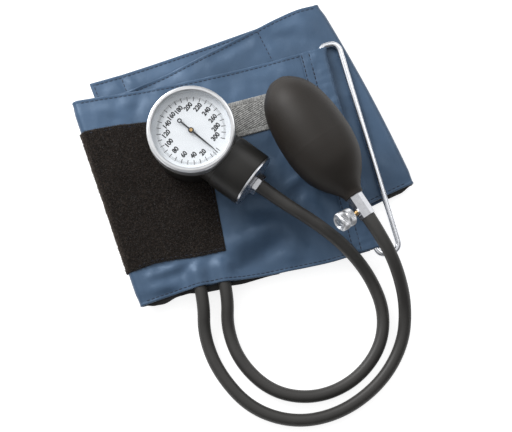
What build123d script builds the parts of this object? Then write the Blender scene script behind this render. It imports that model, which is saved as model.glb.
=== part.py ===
from build123d import *
import math
import os

# Aneroid blood pressure set for the upper arm: a folded cloth cuff with its bladder, a round gauge,
# a rubber squeeze bulb with a release valve, and two rubber hoses.  All sizes are in millimetres.
# +X runs along the cuff's top panel towards the metal bar, +Z is up, and the cuff lies on Z = 0.

os.makedirs("parts", exist_ok=True)

# ------------------------------------------------------------------ driving dimensions: the cuff
FABRIC_T = 0.8
BLADDER_T = 1.6
LAYER_PITCH = 5.4
PANEL_T = BLADDER_T + 2 * FABRIC_T
MID_BOTTOM = PANEL_T / 2
MID_MIDDLE = MID_BOTTOM + LAYER_PITCH
MID_TOP = MID_MIDDLE + LAYER_PITCH
CUFF_TOP = MID_TOP + PANEL_T / 2
FOLD_R = LAYER_PITCH / 2
HEM_SHARE = 0.03
PATCH_T = 1.0
PATCH_TUCK = 30.0

# corners of the three panels, left to right as they lie, seen from above
LEFT_TOP = (-94.22, 60.2)
LEFT_BOTTOM = (-84.0, -76.3)
BAR_END_TOP = (58.8, 54.3)
BAR_END_BOTTOM = (58.8, -79.6)
RIGHT_TOP = (66.5, 83.7)
RIGHT_BOTTOM = (94.3, -44.9)
FREE_TOP = (-84.2, 72.0)
FREE_BOTTOM = (-71.0, -61.0)

# pile patch on the shell, and the ends of its stretch along the left fold as shares of that fold
PATCH_RIGHT_TOP = (-21.1, 25.6)
PATCH_RIGHT_BOTTOM = (-27.9, -57.2)
PATCH_FOLD_LOW = 0.16
PATCH_FOLD_HIGH = 0.85

# ------------------------------------------------------------------ driving dimensions: the metal bar
WIRE_D = 3.8
BAR_X = 63.0
BAR_Y = -14.6
BAR_SPAN = 14.8
BAR_LENGTH = 139.6
BAR_CORNER_R = 5.5
RUNNING_GAP = 0.05
SLEEVE_START_X = 46.0
SLEEVE_TOP_Y = 49.6
SLEEVE_BOTTOM_Y = -78.0

# ------------------------------------------------------------------ driving dimensions: hoses
HOSE_OD = 8.0
HOSE_ID = 5.0
PORT_Z = 12.9
PORT_FACE_Y = -69.0
PORT_ROOT_Y = -64.0
GAUGE_PORT_X = -33.2
BULB_PORT_X = -48.6
NOTCH_W = 9.0

# ------------------------------------------------------------------ driving dimensions: the gauge
GAUGE_X = -30.3
GAUGE_Y = 14.1
NECK_ANGLE = -51.5
CASE_R = 25.0
CASE_BORE_R = 23.4
CASE_BOTTOM = 17.6
CASE_TOP = 50.5
CASE_FLOOR = 1.8
NECK_R = 17.0
NECK_BORE_R = 15.4
NECK_Z = CASE_BOTTOM + NECK_R
NECK_END = 46.2
BEZEL_R = 27.0
BEZEL_LIP_R = 24.2
BEZEL_BOTTOM = 45.5
BEZEL_TOP = 57.0
DIAL_T = 0.5
LENS_BOTTOM = 55.0
LENS_T = 1.3
ARBOR_R = 0.6
BACK_PLATE_Z = 30.0
FRONT_PLATE_Z = 46.0
PLATE_T = 1.2
POINTER_Z = 52.5
POINTER_TIP = 19.0
POINTER_TAIL = 9.2
DIAL_TURN = -3.2

# gearing of the movement: the sector would have 100 teeth all round and drives 10 on the pinion
PINION_TEETH = 10
SECTOR_RATIO = 10
GEAR_MODULE = 0.25
SECTOR_TEETH_BEHIND = 9
SECTOR_TEETH_AHEAD = 1
SECTOR_SWING = 33.4
TAIL_PIN_REACH = 3.0

# ------------------------------------------------------------------ driving dimensions: bulb and valve
BULB_ANGLE = -71.8
BULB_NECK = (56.2, -48.2)
BULB_LENGTH = 85.0
BULB_R = 22.1
BULB_Z = CUFF_TOP + FABRIC_T + BULB_R + 0.1
VALVE_AF = 9.0
VALVE_LENGTH = 15.0
BARB_LENGTH = 8.5
BARB_R = HOSE_ID / 2 - 0.06
KNOB_SEAT = 9.7
KNOB_TILT = 22.0
KNOB_R = 5.9
KNOB_NEAR = 8.7
KNOB_FAR = 19.9
SCREW_R = 1.5


def finish(piece, label):
    """Label a finished piece and write it as its own file."""
    piece.part.label = label
    export_step(piece.part, f"parts/{label}.step")


def between(start, end, share):
    """The point a share of the way from start to end."""
    return (start[0] + (end[0] - start[0]) * share, start[1] + (end[1] - start[1]) * share)


# ------------------------------------------------------------------ the folded cloth
TOP_PANEL = (LEFT_TOP, BAR_END_TOP, BAR_END_BOTTOM, LEFT_BOTTOM)
MIDDLE_PANEL = (LEFT_TOP, RIGHT_TOP, RIGHT_BOTTOM, LEFT_BOTTOM)
BOTTOM_PANEL = (FREE_TOP, RIGHT_TOP, RIGHT_BOTTOM, FREE_BOTTOM)
# each panel with the height of its middle and the way its shell side faces
PANELS = ((TOP_PANEL, MID_TOP, 1), (MIDDLE_PANEL, MID_MIDDLE, -1), (BOTTOM_PANEL, MID_BOTTOM, 1))
LEFT_FOLD_Z = (MID_TOP + MID_MIDDLE) / 2
RIGHT_FOLD_Z = (MID_MIDDLE + MID_BOTTOM) / 2


def slab(corners, low, high):
    """Add a flat sheet with the given corners to the part being built."""
    with BuildSketch(Plane.XY.offset(low)) as outline:
        with BuildLine():
            Polyline(*corners, close=True)
        make_face()
    extrude(outline.sketch, amount=high - low)


def half_pipe(start, end, height, outward, inner_r, outer_r):
    """Add the cloth round a fold line from start to end; outward is 1 to the right, -1 to the left."""
    along = Vector(end[0] - start[0], end[1] - start[1], 0)
    out = along.cross(Vector(0, 0, 1)).normalized() * outward
    with BuildSketch(Plane(origin=(start[0], start[1], height), x_dir=out, z_dir=along)) as ring:
        Circle(outer_r)
        Circle(inner_r, mode=Mode.SUBTRACT)
        Rectangle(4 * outer_r, 4 * outer_r, align=(Align.MAX, Align.CENTER), mode=Mode.SUBTRACT)
    extrude(ring.sketch, amount=along.length)


def folded_sheet(near, far):
    """Add one sheet of the Z fold, lying near to far from the panels' middle on their shell side."""
    for corners, middle, side in PANELS:
        slab(corners, middle + min(side * near, side * far), middle + max(side * near, side * far))
    half_pipe(LEFT_BOTTOM, LEFT_TOP, LEFT_FOLD_Z, -1, FOLD_R + near, FOLD_R + far)
    half_pipe(RIGHT_BOTTOM, RIGHT_TOP, RIGHT_FOLD_Z, 1, FOLD_R - far, FOLD_R - near)


def hem_strips(corners):
    """The two strips along a panel's long edges."""
    left_top, right_top, right_bottom, left_bottom = corners
    inner_left = between(left_top, left_bottom, HEM_SHARE)
    inner_right = between(right_top, right_bottom, HEM_SHARE)
    outer_left = between(left_bottom, left_top, HEM_SHARE)
    outer_right = between(right_bottom, right_top, HEM_SHARE)
    return (
        (left_top, right_top, inner_right, inner_left),
        (outer_left, outer_right, right_bottom, left_bottom),
    )


def hem(corners, middle):
    """Add a strip as thick as the bladder at a panel's middle height."""
    slab(corners, middle - BLADDER_T / 2, middle + BLADDER_T / 2)


def cut_hose_notches():
    """Cut away the cloth of the top panel where the two hoses go in."""
    for port_x in (GAUGE_PORT_X, BULB_PORT_X):
        with Locations((port_x, PORT_ROOT_Y + 0.3, MID_TOP)):
            Box(NOTCH_W, 24, PANEL_T + 1, align=(Align.CENTER, Align.MAX, Align.CENTER), mode=Mode.SUBTRACT)


with BuildPart() as cuff_shell:
    folded_sheet(BLADDER_T / 2, BLADDER_T / 2 + FABRIC_T)
    cut_hose_notches()
finish(cuff_shell, "cuff_shell")

with BuildPart() as cuff_lining:
    folded_sheet(-BLADDER_T / 2 - FABRIC_T, -BLADDER_T / 2)
    # turned hems close the gap to the shell all round
    for corners, middle, side in PANELS:
        for strip in hem_strips(corners):
            hem(strip, middle)
    bar_hem_top = between(BAR_END_TOP, LEFT_TOP, HEM_SHARE)
    bar_hem_bottom = between(BAR_END_BOTTOM, LEFT_BOTTOM, HEM_SHARE)
    hem((bar_hem_top, BAR_END_TOP, BAR_END_BOTTOM, bar_hem_bottom), MID_TOP)
    free_hem_top = between(FREE_TOP, RIGHT_TOP, HEM_SHARE)
    free_hem_bottom = between(FREE_BOTTOM, RIGHT_BOTTOM, HEM_SHARE)
    hem((FREE_TOP, free_hem_top, free_hem_bottom, FREE_BOTTOM), MID_BOTTOM)
    cut_hose_notches()
finish(cuff_lining, "cuff_lining")

# The bladder fills the top panel and goes round the left fold into the middle one.
BLADDER_LEFT_TOP = between(LEFT_TOP, LEFT_BOTTOM, 0.09)
BLADDER_LEFT_BOTTOM = between(LEFT_BOTTOM, LEFT_TOP, 0.09)
BLADDER_RIGHT_X = 44.0
BLADDER_TURN = 70.0

with BuildPart() as bladder:
    slab(
        (BLADDER_LEFT_TOP, (BLADDER_RIGHT_X, 46.0), (BLADDER_RIGHT_X, -65.0), BLADDER_LEFT_BOTTOM),
        MID_TOP - BLADDER_T / 2,
        MID_TOP + BLADDER_T / 2,
    )
    slab(
        (
            BLADDER_LEFT_TOP,
            (BLADDER_LEFT_TOP[0] + BLADDER_TURN, BLADDER_LEFT_TOP[1] + 6.0),
            (BLADDER_LEFT_BOTTOM[0] + BLADDER_TURN, BLADDER_LEFT_BOTTOM[1] + 7.0),
            BLADDER_LEFT_BOTTOM,
        ),
        MID_MIDDLE - BLADDER_T / 2,
        MID_MIDDLE + BLADDER_T / 2,
    )
    half_pipe(
        BLADDER_LEFT_BOTTOM, BLADDER_LEFT_TOP, LEFT_FOLD_Z, -1, FOLD_R - BLADDER_T / 2, FOLD_R + BLADDER_T / 2
    )
    # the moulded ports that the hoses butt against
    for port_x in (GAUGE_PORT_X, BULB_PORT_X):
        with BuildSketch(Plane(origin=(port_x, PORT_ROOT_Y, PORT_Z), z_dir=(0, -1, 0))):
            Circle(HOSE_OD / 2)
        extrude(amount=PORT_ROOT_Y - PORT_FACE_Y)
        with BuildSketch(Plane(origin=(port_x, PORT_FACE_Y, PORT_Z), z_dir=(0, 1, 0))):
            Circle(HOSE_ID / 2)
        extrude(amount=PORT_ROOT_Y - PORT_FACE_Y - 1, mode=Mode.SUBTRACT)
finish(bladder, "bladder")

PATCH_LEFT_BOTTOM = between(LEFT_BOTTOM, LEFT_TOP, PATCH_FOLD_LOW)
PATCH_LEFT_TOP = between(LEFT_BOTTOM, LEFT_TOP, PATCH_FOLD_HIGH)

PATCH_CORNERS = (PATCH_LEFT_TOP, PATCH_RIGHT_TOP, PATCH_RIGHT_BOTTOM, PATCH_LEFT_BOTTOM)
PATCH_FOLD_R = FOLD_R + PANEL_T / 2

with BuildPart() as loop_patch:
    slab(PATCH_CORNERS, CUFF_TOP, CUFF_TOP + PATCH_T)
    slab(
        (
            PATCH_LEFT_TOP,
            (PATCH_LEFT_TOP[0] + PATCH_TUCK, PATCH_LEFT_TOP[1]),
            (PATCH_LEFT_BOTTOM[0] + PATCH_TUCK, PATCH_LEFT_BOTTOM[1]),
            PATCH_LEFT_BOTTOM,
        ),
        MID_MIDDLE - PANEL_T / 2 - PATCH_T,
        MID_MIDDLE - PANEL_T / 2,
    )
    half_pipe(PATCH_LEFT_BOTTOM, PATCH_LEFT_TOP, LEFT_FOLD_Z, -1, PATCH_FOLD_R, PATCH_FOLD_R + PATCH_T)
finish(loop_patch, "loop_patch")

HOOK_SHARE = 0.22
with BuildPart() as hook_patch:
    slab(
        (
            between(between(FREE_TOP, RIGHT_TOP, 0.03), FREE_BOTTOM, 0.12),
            between(between(FREE_TOP, RIGHT_TOP, HOOK_SHARE), FREE_BOTTOM, 0.12),
            between(between(FREE_BOTTOM, RIGHT_BOTTOM, HOOK_SHARE), FREE_TOP, 0.12),
            between(between(FREE_BOTTOM, RIGHT_BOTTOM, 0.03), FREE_TOP, 0.12),
        ),
        PANEL_T,
        PANEL_T + PATCH_T,
    )
finish(hook_patch, "hook_patch")

STRAP_T = 1.1
STRAP_W = 23.0
STRAP_LEFT = -14.0
STRAP_RIGHT = 40.0
STRAP_TOP = 33.7
STRAP_BOTTOM = STRAP_TOP - STRAP_W
STRAP_CORNERS = (
    (STRAP_LEFT, STRAP_TOP),
    (STRAP_RIGHT, STRAP_TOP),
    (STRAP_RIGHT, STRAP_BOTTOM),
    (STRAP_LEFT, STRAP_BOTTOM),
)
with BuildPart() as gauge_strap:
    slab(STRAP_CORNERS, CUFF_TOP, CUFF_TOP + STRAP_T)
finish(gauge_strap, "gauge_strap")

# ------------------------------------------------------------------ metal bar and its sewn sleeve
SLEEVE_EYE_R = WIRE_D / 2 + RUNNING_GAP + 0.9
with BuildPart() as bar_sleeve:
    with BuildSketch(Plane(origin=(0, SLEEVE_TOP_Y, MID_TOP), x_dir=(1, 0, 0), z_dir=(0, -1, 0))):
        with Locations((SLEEVE_START_X, 0)):
            Rectangle(BAR_X - SLEEVE_START_X, PANEL_T + 2 * FABRIC_T, align=(Align.MIN, Align.CENTER))
            Rectangle(
                BAR_END_TOP[0] - SLEEVE_START_X, PANEL_T, align=(Align.MIN, Align.CENTER), mode=Mode.SUBTRACT
            )
        with Locations((BAR_X, 0)):
            Circle(SLEEVE_EYE_R)
            Circle(WIRE_D / 2 + RUNNING_GAP, mode=Mode.SUBTRACT)
    extrude(amount=SLEEVE_TOP_Y - SLEEVE_BOTTOM_Y)
finish(bar_sleeve, "bar_sleeve")

BAR_DROP = MID_TOP - (MID_MIDDLE + PANEL_T / 2 + WIRE_D / 2 + RUNNING_GAP)
BAR_TILT = math.asin(BAR_DROP / BAR_SPAN)
BAR_PLANE = Plane(
    origin=(BAR_X, BAR_Y, MID_TOP),
    x_dir=(math.cos(BAR_TILT), 0, -math.sin(BAR_TILT)),
    z_dir=(math.sin(BAR_TILT), 0, math.cos(BAR_TILT)),
)
with BuildPart() as d_bar:
    with BuildLine(BAR_PLANE) as loop:
        FilletPolyline(
            (0, BAR_LENGTH / 2),
            (BAR_SPAN, BAR_LENGTH / 2),
            (BAR_SPAN, -BAR_LENGTH / 2),
            (0, -BAR_LENGTH / 2),
            radius=BAR_CORNER_R,
            close=True,
        )
    with BuildSketch(Plane(origin=loop.wires()[0] @ 0, z_dir=loop.wires()[0] % 0)):
        Circle(WIRE_D / 2)
    sweep(path=loop.wires()[0])
finish(d_bar, "d_bar")

# ------------------------------------------------------------------ hoses
# Routes run from the barbs to the bladder's ports; each corner gets the largest arc its runs allow.
GAUGE_HOSE_ROUTE = (
    (2.2, -26.75, 34.6),
    (12.65, -39.9, 34.6),
    (30.0, -56.9, 29.0),
    (44.9, -75.2, 21.5),
    (54.9, -95.7, 9.0),
    (57.6, -119.2, 4.3),
    (48.2, -140.4, 4.3),
    (27.3, -155.2, 4.3),
    (1.9, -158.4, 4.3),
    (-21.7, -148.7, 4.3),
    (-36.5, -126.9, 4.3),
    (-39.3, -103.5, 4.5),
    (-33.2, -84.0, 12.9),
    (-33.2, -69.0, 12.9),
)
BULB_HOSE_ROUTE = (
    (60.89, -62.45, 37.0),
    (66.2, -78.6, 37.0),
    (69.7, -96.9, 28.5),
    (70.6, -118.1, 12.0),
    (63.4, -140.3, 4.3),
    (43.9, -159.9, 4.3),
    (15.7, -171.4, 4.3),
    (-13.1, -170.0, 4.3),
    (-37.6, -155.0, 4.3),
    (-51.3, -128.8, 4.3),
    (-54.3, -103.7, 4.5),
    (-48.6, -84.0, 12.9),
    (-48.6, -69.0, 12.9),
)


def corner_radii(points):
    """The largest arc at each inner point: 0.45 of the shorter run over the tangent of half the turn."""
    radii = []
    for before, at, after in zip(points, points[1:], points[2:]):
        first = at - before
        second = after - at
        half_turn = math.radians(first.get_angle(second)) / 2
        radii.append(0.45 * min(first.length, second.length) / math.tan(half_turn))
    return radii


def hose(route, label):
    """A rubber tube along the route."""
    points = [Vector(*point) for point in route]
    radii = corner_radii(points)
    with BuildPart() as tube:
        with BuildLine() as line:
            FilletPolyline(*points, radius=radii)
        with BuildSketch(Plane(origin=points[0], z_dir=points[1] - points[0])):
            Circle(HOSE_OD / 2)
            Circle(HOSE_ID / 2, mode=Mode.SUBTRACT)
        sweep()
    length = line.wires()[0].length
    section = math.pi * (HOSE_OD**2 - HOSE_ID**2) / 4
    print(label, "radii", [round(radius) for radius in radii])
    print(label, "length", round(length, 1))
    print(label, "volume over section x length", round(tube.part.volume / section / length, 4))
    finish(tube, label)


hose(GAUGE_HOSE_ROUTE, "gauge_hose")
hose(BULB_HOSE_ROUTE, "bulb_hose")

# ------------------------------------------------------------------ the gauge
DOWN = (math.cos(math.radians(NECK_ANGLE)), math.sin(math.radians(NECK_ANGLE)), 0)
NECK = Plane(origin=(GAUGE_X, GAUGE_Y, NECK_Z), x_dir=(0, 0, 1), z_dir=DOWN)
POST_PLACES = ((-4.5, -7.0), (-4.5, 5.5), (16.5, 5.5), (16.5, -8.0))
POST_R = 1.5
POST_SCREW_R = 0.7
RIVET_PLACES = ((0.5, 3.0), (0.5, -3.0))
RIVET_R = 0.9


def level(height):
    """Plane at a height on the dial's axis, with X towards the neck, which is the dial's zero mark."""
    return Plane(origin=(GAUGE_X, GAUGE_Y, height), x_dir=DOWN, z_dir=(0, 0, 1))


def disc(plane, outer_r, thickness, inner_r=0.0, mode=Mode.ADD):
    """Add a round disc or ring that stands on a plane."""
    with BuildSketch(plane) as ring:
        Circle(outer_r)
        if inner_r:
            Circle(inner_r, mode=Mode.SUBTRACT)
    extrude(ring.sketch, amount=thickness, mode=mode)


def turned(plane, outline):
    """Add a turned shape on a plane's Z axis, from an outline of radius and height."""
    with BuildSketch(Plane(origin=plane.origin, x_dir=plane.x_dir, z_dir=-plane.y_dir)) as profile:
        with BuildLine():
            Polyline(*outline, close=True)
        make_face()
    revolve(profile.sketch, axis=Axis(plane.origin, plane.z_dir))


with BuildPart() as gauge_case:
    disc(level(CASE_BOTTOM), CASE_R, CASE_TOP - CASE_BOTTOM)
    disc(NECK.offset(10), NECK_R, NECK_END - 10)
    # room for the bezel's skirt, which the top of the neck would otherwise meet
    disc(level(BEZEL_BOTTOM - 0.5), BEZEL_R + 0.2, 20, inner_r=CASE_R, mode=Mode.SUBTRACT)
    disc(level(CASE_TOP), CASE_R + 0.5, 20, mode=Mode.SUBTRACT)
    disc(level(CASE_BOTTOM + CASE_FLOOR), CASE_BORE_R, 40, mode=Mode.SUBTRACT)
    disc(NECK, NECK_BORE_R, NECK_END + 1, mode=Mode.SUBTRACT)
    # posts that carry the movement
    with BuildSketch(level(CASE_BOTTOM + CASE_FLOOR)):
        with Locations(*POST_PLACES):
            Circle(POST_R)
    extrude(amount=BACK_PLATE_Z - CASE_BOTTOM - CASE_FLOOR)
    with BuildSketch(level(CASE_BOTTOM)):
        with Locations(*RIVET_PLACES):
            Circle(RIVET_R)
    extrude(amount=CASE_FLOOR, mode=Mode.SUBTRACT)
finish(gauge_case, "gauge_case")

CLIP_W = 12.0
CLIP_T = 0.6
CLIP_GAP = 1.2
CLIP_MOUTH = -9.0
CLIP_BEND = 6.0
RIVET_HEAD_R = RIVET_R + 0.7
RIVET_HEAD_T = 0.5
with BuildPart() as hook_clip:
    with BuildSketch(Plane(origin=level(CASE_BOTTOM).origin, x_dir=DOWN, z_dir=-level(0).y_dir)):
        with BuildLine():
            Polyline(
                (CLIP_MOUTH, 0),
                (CLIP_BEND, 0),
                (CLIP_BEND, -2 * CLIP_T - CLIP_GAP),
                (CLIP_MOUTH, -2 * CLIP_T - CLIP_GAP),
                (CLIP_MOUTH, -CLIP_T - CLIP_GAP),
                (CLIP_BEND - CLIP_T, -CLIP_T - CLIP_GAP),
                (CLIP_BEND - CLIP_T, -CLIP_T),
                (CLIP_MOUTH, -CLIP_T),
                close=True,
            )
        make_face()
    extrude(amount=CLIP_W / 2, both=True)
    with BuildSketch(level(CASE_BOTTOM - CLIP_T)):
        with Locations(*RIVET_PLACES):
            Circle(RIVET_R)
    extrude(amount=CLIP_T, mode=Mode.SUBTRACT)
finish(hook_clip, "hook_clip")

with BuildPart() as clip_rivets:
    with BuildSketch(level(CASE_BOTTOM - CLIP_T)):
        with Locations(*RIVET_PLACES):
            Circle(RIVET_R)
    extrude(amount=CLIP_T + CASE_FLOOR)
    for head_height in (CASE_BOTTOM - CLIP_T - RIVET_HEAD_T, CASE_BOTTOM + CASE_FLOOR):
        with BuildSketch(level(head_height)):
            with Locations(*RIVET_PLACES):
                Circle(RIVET_HEAD_R)
        extrude(amount=RIVET_HEAD_T)
finish(clip_rivets, "clip_rivets")

with BuildPart() as bezel:
    turned(
        level(0),
        (
            (CASE_R, BEZEL_BOTTOM),
            (BEZEL_R - 0.3, BEZEL_BOTTOM),
            (BEZEL_R, BEZEL_BOTTOM + 0.4),
            (BEZEL_R, BEZEL_TOP - 1.4),
            (BEZEL_R - 0.4, BEZEL_TOP - 0.4),
            (BEZEL_R - 1.2, BEZEL_TOP),
            (BEZEL_LIP_R + 0.4, BEZEL_TOP),
            (BEZEL_LIP_R, BEZEL_TOP - 0.3),
            (BEZEL_LIP_R, LENS_BOTTOM + LENS_T),
            (CASE_R, LENS_BOTTOM + LENS_T),
        ),
    )
finish(bezel, "bezel")

with BuildPart() as dial_spacer:
    disc(level(CASE_TOP + DIAL_T), CASE_R, LENS_BOTTOM - CASE_TOP - DIAL_T, inner_r=BEZEL_LIP_R)
finish(dial_spacer, "dial_spacer")

with BuildPart() as lens:
    disc(level(LENS_BOTTOM), CASE_R, LENS_T)
finish(lens, "lens")

with BuildPart() as dial:
    disc(level(CASE_TOP), CASE_R, DIAL_T, inner_r=1.2)
finish(dial, "dial")

# ------------------------------------------------------------------ the movement inside the gauge
PINION_R = GEAR_MODULE * PINION_TEETH / 2
SECTOR_R = PINION_R * SECTOR_RATIO
TOOTH_REACH = 0.2
TOOTH_ROOT = 0.3
SECTOR_Y = -TAIL_PIN_REACH
SECTOR_X = math.sqrt((PINION_R + SECTOR_R) ** 2 - SECTOR_Y**2)
TO_PINION = math.degrees(math.atan2(-SECTOR_Y, -SECTOR_X))
SECTOR_Z = 38.0
SECTOR_T = 1.2
LINK_R = 0.8
PIN_R = 0.5


def tooth(centre, angle, pitch_r, root_half, tip_half):
    """One straight-sided gear tooth, drawn in the current sketch."""
    root_r = pitch_r - TOOTH_ROOT - 0.1
    tip_r = pitch_r + TOOTH_REACH
    corners = []
    for radius, half in ((root_r, root_half), (tip_r, tip_half), (tip_r, -tip_half), (root_r, -root_half)):
        point = Vector(radius, half).rotate(Axis.Z, angle)
        corners.append((centre[0] + point.X, centre[1] + point.Y))
    with BuildLine() as outline:
        Polyline(*corners, close=True)
    make_face(outline.edges())


with BuildPart() as pinion_arbor:
    disc(level(BACK_PLATE_Z), ARBOR_R, POINTER_Z - BACK_PLATE_Z + 0.6)
    with BuildSketch(level(SECTOR_Z - 0.3)):
        Circle(PINION_R - TOOTH_ROOT)
        for count in range(PINION_TEETH):
            tooth((0, 0), TO_PINION + 180 + (count + 0.5) * 360 / PINION_TEETH, PINION_R, 0.19, 0.1)
    extrude(amount=SECTOR_T + 0.6)
    disc(level(42), 1.3, 1.2)
finish(pinion_arbor, "pinion_arbor")

TOOTH_ANGLE = 360 / (PINION_TEETH * SECTOR_RATIO)
SECTOR_FIRST = TO_PINION - (SECTOR_TEETH_BEHIND + 0.7) * TOOTH_ANGLE
SECTOR_LAST = TO_PINION + (SECTOR_TEETH_AHEAD + 0.7) * TOOTH_ANGLE
TAIL_ANGLE = 90 - SECTOR_SWING / 2
PAST_SECTOR = 20.0


def from_sector(radius, angle):
    """A point at a radius and an angle in degrees about the sector's pivot."""
    turn = math.radians(angle)
    return (SECTOR_X + radius * math.cos(turn), SECTOR_Y + radius * math.sin(turn))


with BuildPart() as sector_gear:
    with BuildSketch(level(SECTOR_Z)):
        with Locations((SECTOR_X, SECTOR_Y)):
            Circle(SECTOR_R - TOOTH_ROOT)
        with BuildLine():
            Polyline(
                (SECTOR_X, SECTOR_Y),
                from_sector(PAST_SECTOR, SECTOR_FIRST),
                from_sector(PAST_SECTOR, SECTOR_LAST),
                close=True,
            )
        make_face(mode=Mode.INTERSECT)
        with Locations((SECTOR_X, SECTOR_Y)):
            Circle(2.0)
        for count in range(-SECTOR_TEETH_BEHIND, SECTOR_TEETH_AHEAD + 1):
            tooth((SECTOR_X, SECTOR_Y), TO_PINION + count * TOOTH_ANGLE, SECTOR_R, 0.17, 0.1)
        with Locations(Location((SECTOR_X, SECTOR_Y, 0), TAIL_ANGLE)):
            Rectangle(TAIL_PIN_REACH + 0.9, 1.8, align=(Align.MIN, Align.CENTER))
        with Locations((SECTOR_X, SECTOR_Y)):
            Circle(ARBOR_R, mode=Mode.SUBTRACT)
    extrude(amount=SECTOR_T)
    with BuildSketch(level(NECK_Z - 1.4)):
        with Locations(from_sector(TAIL_PIN_REACH, TAIL_ANGLE)):
            Circle(PIN_R)
    extrude(amount=SECTOR_Z - NECK_Z + 1.4)
finish(sector_gear, "sector_gear")

with BuildPart() as sector_arbor:
    with BuildSketch(level(BACK_PLATE_Z)):
        with Locations((SECTOR_X, SECTOR_Y)):
            Circle(ARBOR_R)
    extrude(amount=FRONT_PLATE_Z + PLATE_T - BACK_PLATE_Z)
finish(sector_arbor, "sector_arbor")

for plate_z, plate_name in ((BACK_PLATE_Z, "movement_back_plate"), (FRONT_PLATE_Z, "movement_front_plate")):
    with BuildPart() as plate:
        with BuildSketch(level(plate_z)):
            with Locations((6.0, -1.25)):
                RectangleRounded(25.0, 17.5, 2.0)
            with Locations((0, 0), (SECTOR_X, SECTOR_Y)):
                Circle(ARBOR_R + RUNNING_GAP, mode=Mode.SUBTRACT)
            if plate_z == FRONT_PLATE_Z:
                with Locations(*POST_PLACES):
                    Circle(POST_SCREW_R, mode=Mode.SUBTRACT)
        extrude(amount=PLATE_T)
    finish(plate, plate_name)

with BuildPart() as movement_posts:
    with BuildSketch(level(BACK_PLATE_Z + PLATE_T)):
        with Locations(*POST_PLACES):
            Circle(POST_R - 0.2)
    extrude(amount=FRONT_PLATE_Z - BACK_PLATE_Z - PLATE_T)
    with BuildSketch(level(FRONT_PLATE_Z - 4)):
        with Locations(*POST_PLACES):
            Circle(POST_SCREW_R)
    extrude(amount=4, mode=Mode.SUBTRACT)
finish(movement_posts, "movement_posts")

with BuildPart() as movement_screws:
    with BuildSketch(level(FRONT_PLATE_Z - 4)):
        with Locations(*POST_PLACES):
            Circle(POST_SCREW_R)
    extrude(amount=4 + PLATE_T)
    with BuildSketch(level(FRONT_PLATE_Z + PLATE_T)):
        with Locations(*POST_PLACES):
            Circle(1.4)
    extrude(amount=1.0)
    with BuildSketch(level(FRONT_PLATE_Z + PLATE_T + 0.6)):
        with Locations(*POST_PLACES):
            Rectangle(3.0, 0.4)
    extrude(amount=0.5, mode=Mode.SUBTRACT)
finish(movement_screws, "movement_screws")

HAIRSPRING_TURNS = 4
HAIRSPRING_START_R = 1.6
HAIRSPRING_STEP = 0.5
HAIRSPRING_Z = 42.6
HAIRSPRING_END = level(HAIRSPRING_Z).from_local_coords((HAIRSPRING_START_R, 0, 0))
with BuildPart() as hairspring:
    with BuildLine(level(HAIRSPRING_Z)):
        radius = HAIRSPRING_START_R
        centre_x = 0.0
        side = 1
        for half in range(2 * HAIRSPRING_TURNS):
            CenterArc((centre_x, 0), radius, 0 if side > 0 else 180, 180)
            centre_x -= side * HAIRSPRING_STEP / 2
            radius += HAIRSPRING_STEP / 2
            side = -side
    with BuildSketch(Plane(origin=HAIRSPRING_END, z_dir=level(0).y_dir)):
        Rectangle(0.2, 0.8)
    sweep()
finish(hairspring, "hairspring")

CAPSULE_R = 14.5
CAPSULE_NEAR = 34.0
CAPSULE_FAR = 39.5
CAPSULE_BOSS_R = 2.4
RIDGE_COUNT = 7
RIDGE_STEP = 1.5


def capsule_face(height, inward):
    """One corrugated face of the capsule, from its rim to its boss."""
    outline = []
    for count in range(1, RIDGE_COUNT + 1):
        depth = 0.5 if count % 2 else 1.0
        outline.append((CAPSULE_R - RIDGE_STEP * count, height + inward * depth))
    return outline + [(CAPSULE_BOSS_R, height), (0, height)]


with BuildPart() as diaphragm_capsule:
    rim = [(CAPSULE_R, 37.3), (CAPSULE_R, 36.2)]
    turned(NECK, rim + capsule_face(CAPSULE_NEAR, 1) + capsule_face(CAPSULE_FAR, -1)[::-1])
finish(diaphragm_capsule, "diaphragm_capsule")

TAIL_PIN_X = from_sector(TAIL_PIN_REACH, TAIL_ANGLE)[0]
with BuildPart() as push_link:
    disc(NECK.offset(TAIL_PIN_X + PIN_R + 0.1), 1.6, 0.6)
    disc(NECK.offset(TAIL_PIN_X + PIN_R + 0.7), LINK_R, CAPSULE_NEAR - 0.1 - TAIL_PIN_X - PIN_R - 0.7)
finish(push_link, "push_link")

# ------------------------------------------------------------------ pressure inlet of the gauge
PLATE_RIM_T = 1.2
HEX_AF = 8.0
with BuildPart() as end_plate:
    turned(
        NECK,
        (
            (2.5, NECK_END - 1.5),
            (NECK_BORE_R - 0.05, NECK_END - 1.5),
            (NECK_BORE_R - 0.05, NECK_END),
            (NECK_R + 0.2, NECK_END),
            (NECK_R + 0.3, NECK_END + 0.6),
            (NECK_R + 0.2, NECK_END + PLATE_RIM_T),
            (NECK_R - 1.0, NECK_END + PLATE_RIM_T + 0.1),
            (NECK_R - 1.6, NECK_END + 0.9),
            (NECK_R - 6.0, NECK_END + 2.0),
            (NECK_R - 10.0, NECK_END + 2.6),
            (2.5, NECK_END + 2.8),
        ),
    )
finish(end_plate, "end_plate")

HEX_NEAR = NECK_END + 2.8
GAUGE_HOSE_START = HEX_NEAR + 3.2
with BuildPart() as gauge_inlet:
    disc(NECK.offset(CAPSULE_FAR), 2.5, HEX_NEAR - CAPSULE_FAR)
    with BuildSketch(NECK.offset(HEX_NEAR)):
        RegularPolygon(HEX_AF / 2, 6, major_radius=False)
    extrude(amount=GAUGE_HOSE_START - HEX_NEAR)
    disc(NECK.offset(GAUGE_HOSE_START), BARB_R, BARB_LENGTH)
    disc(NECK.offset(CAPSULE_FAR + 0.5), 0.8, 60, mode=Mode.SUBTRACT)
finish(gauge_inlet, "gauge_inlet")

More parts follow.
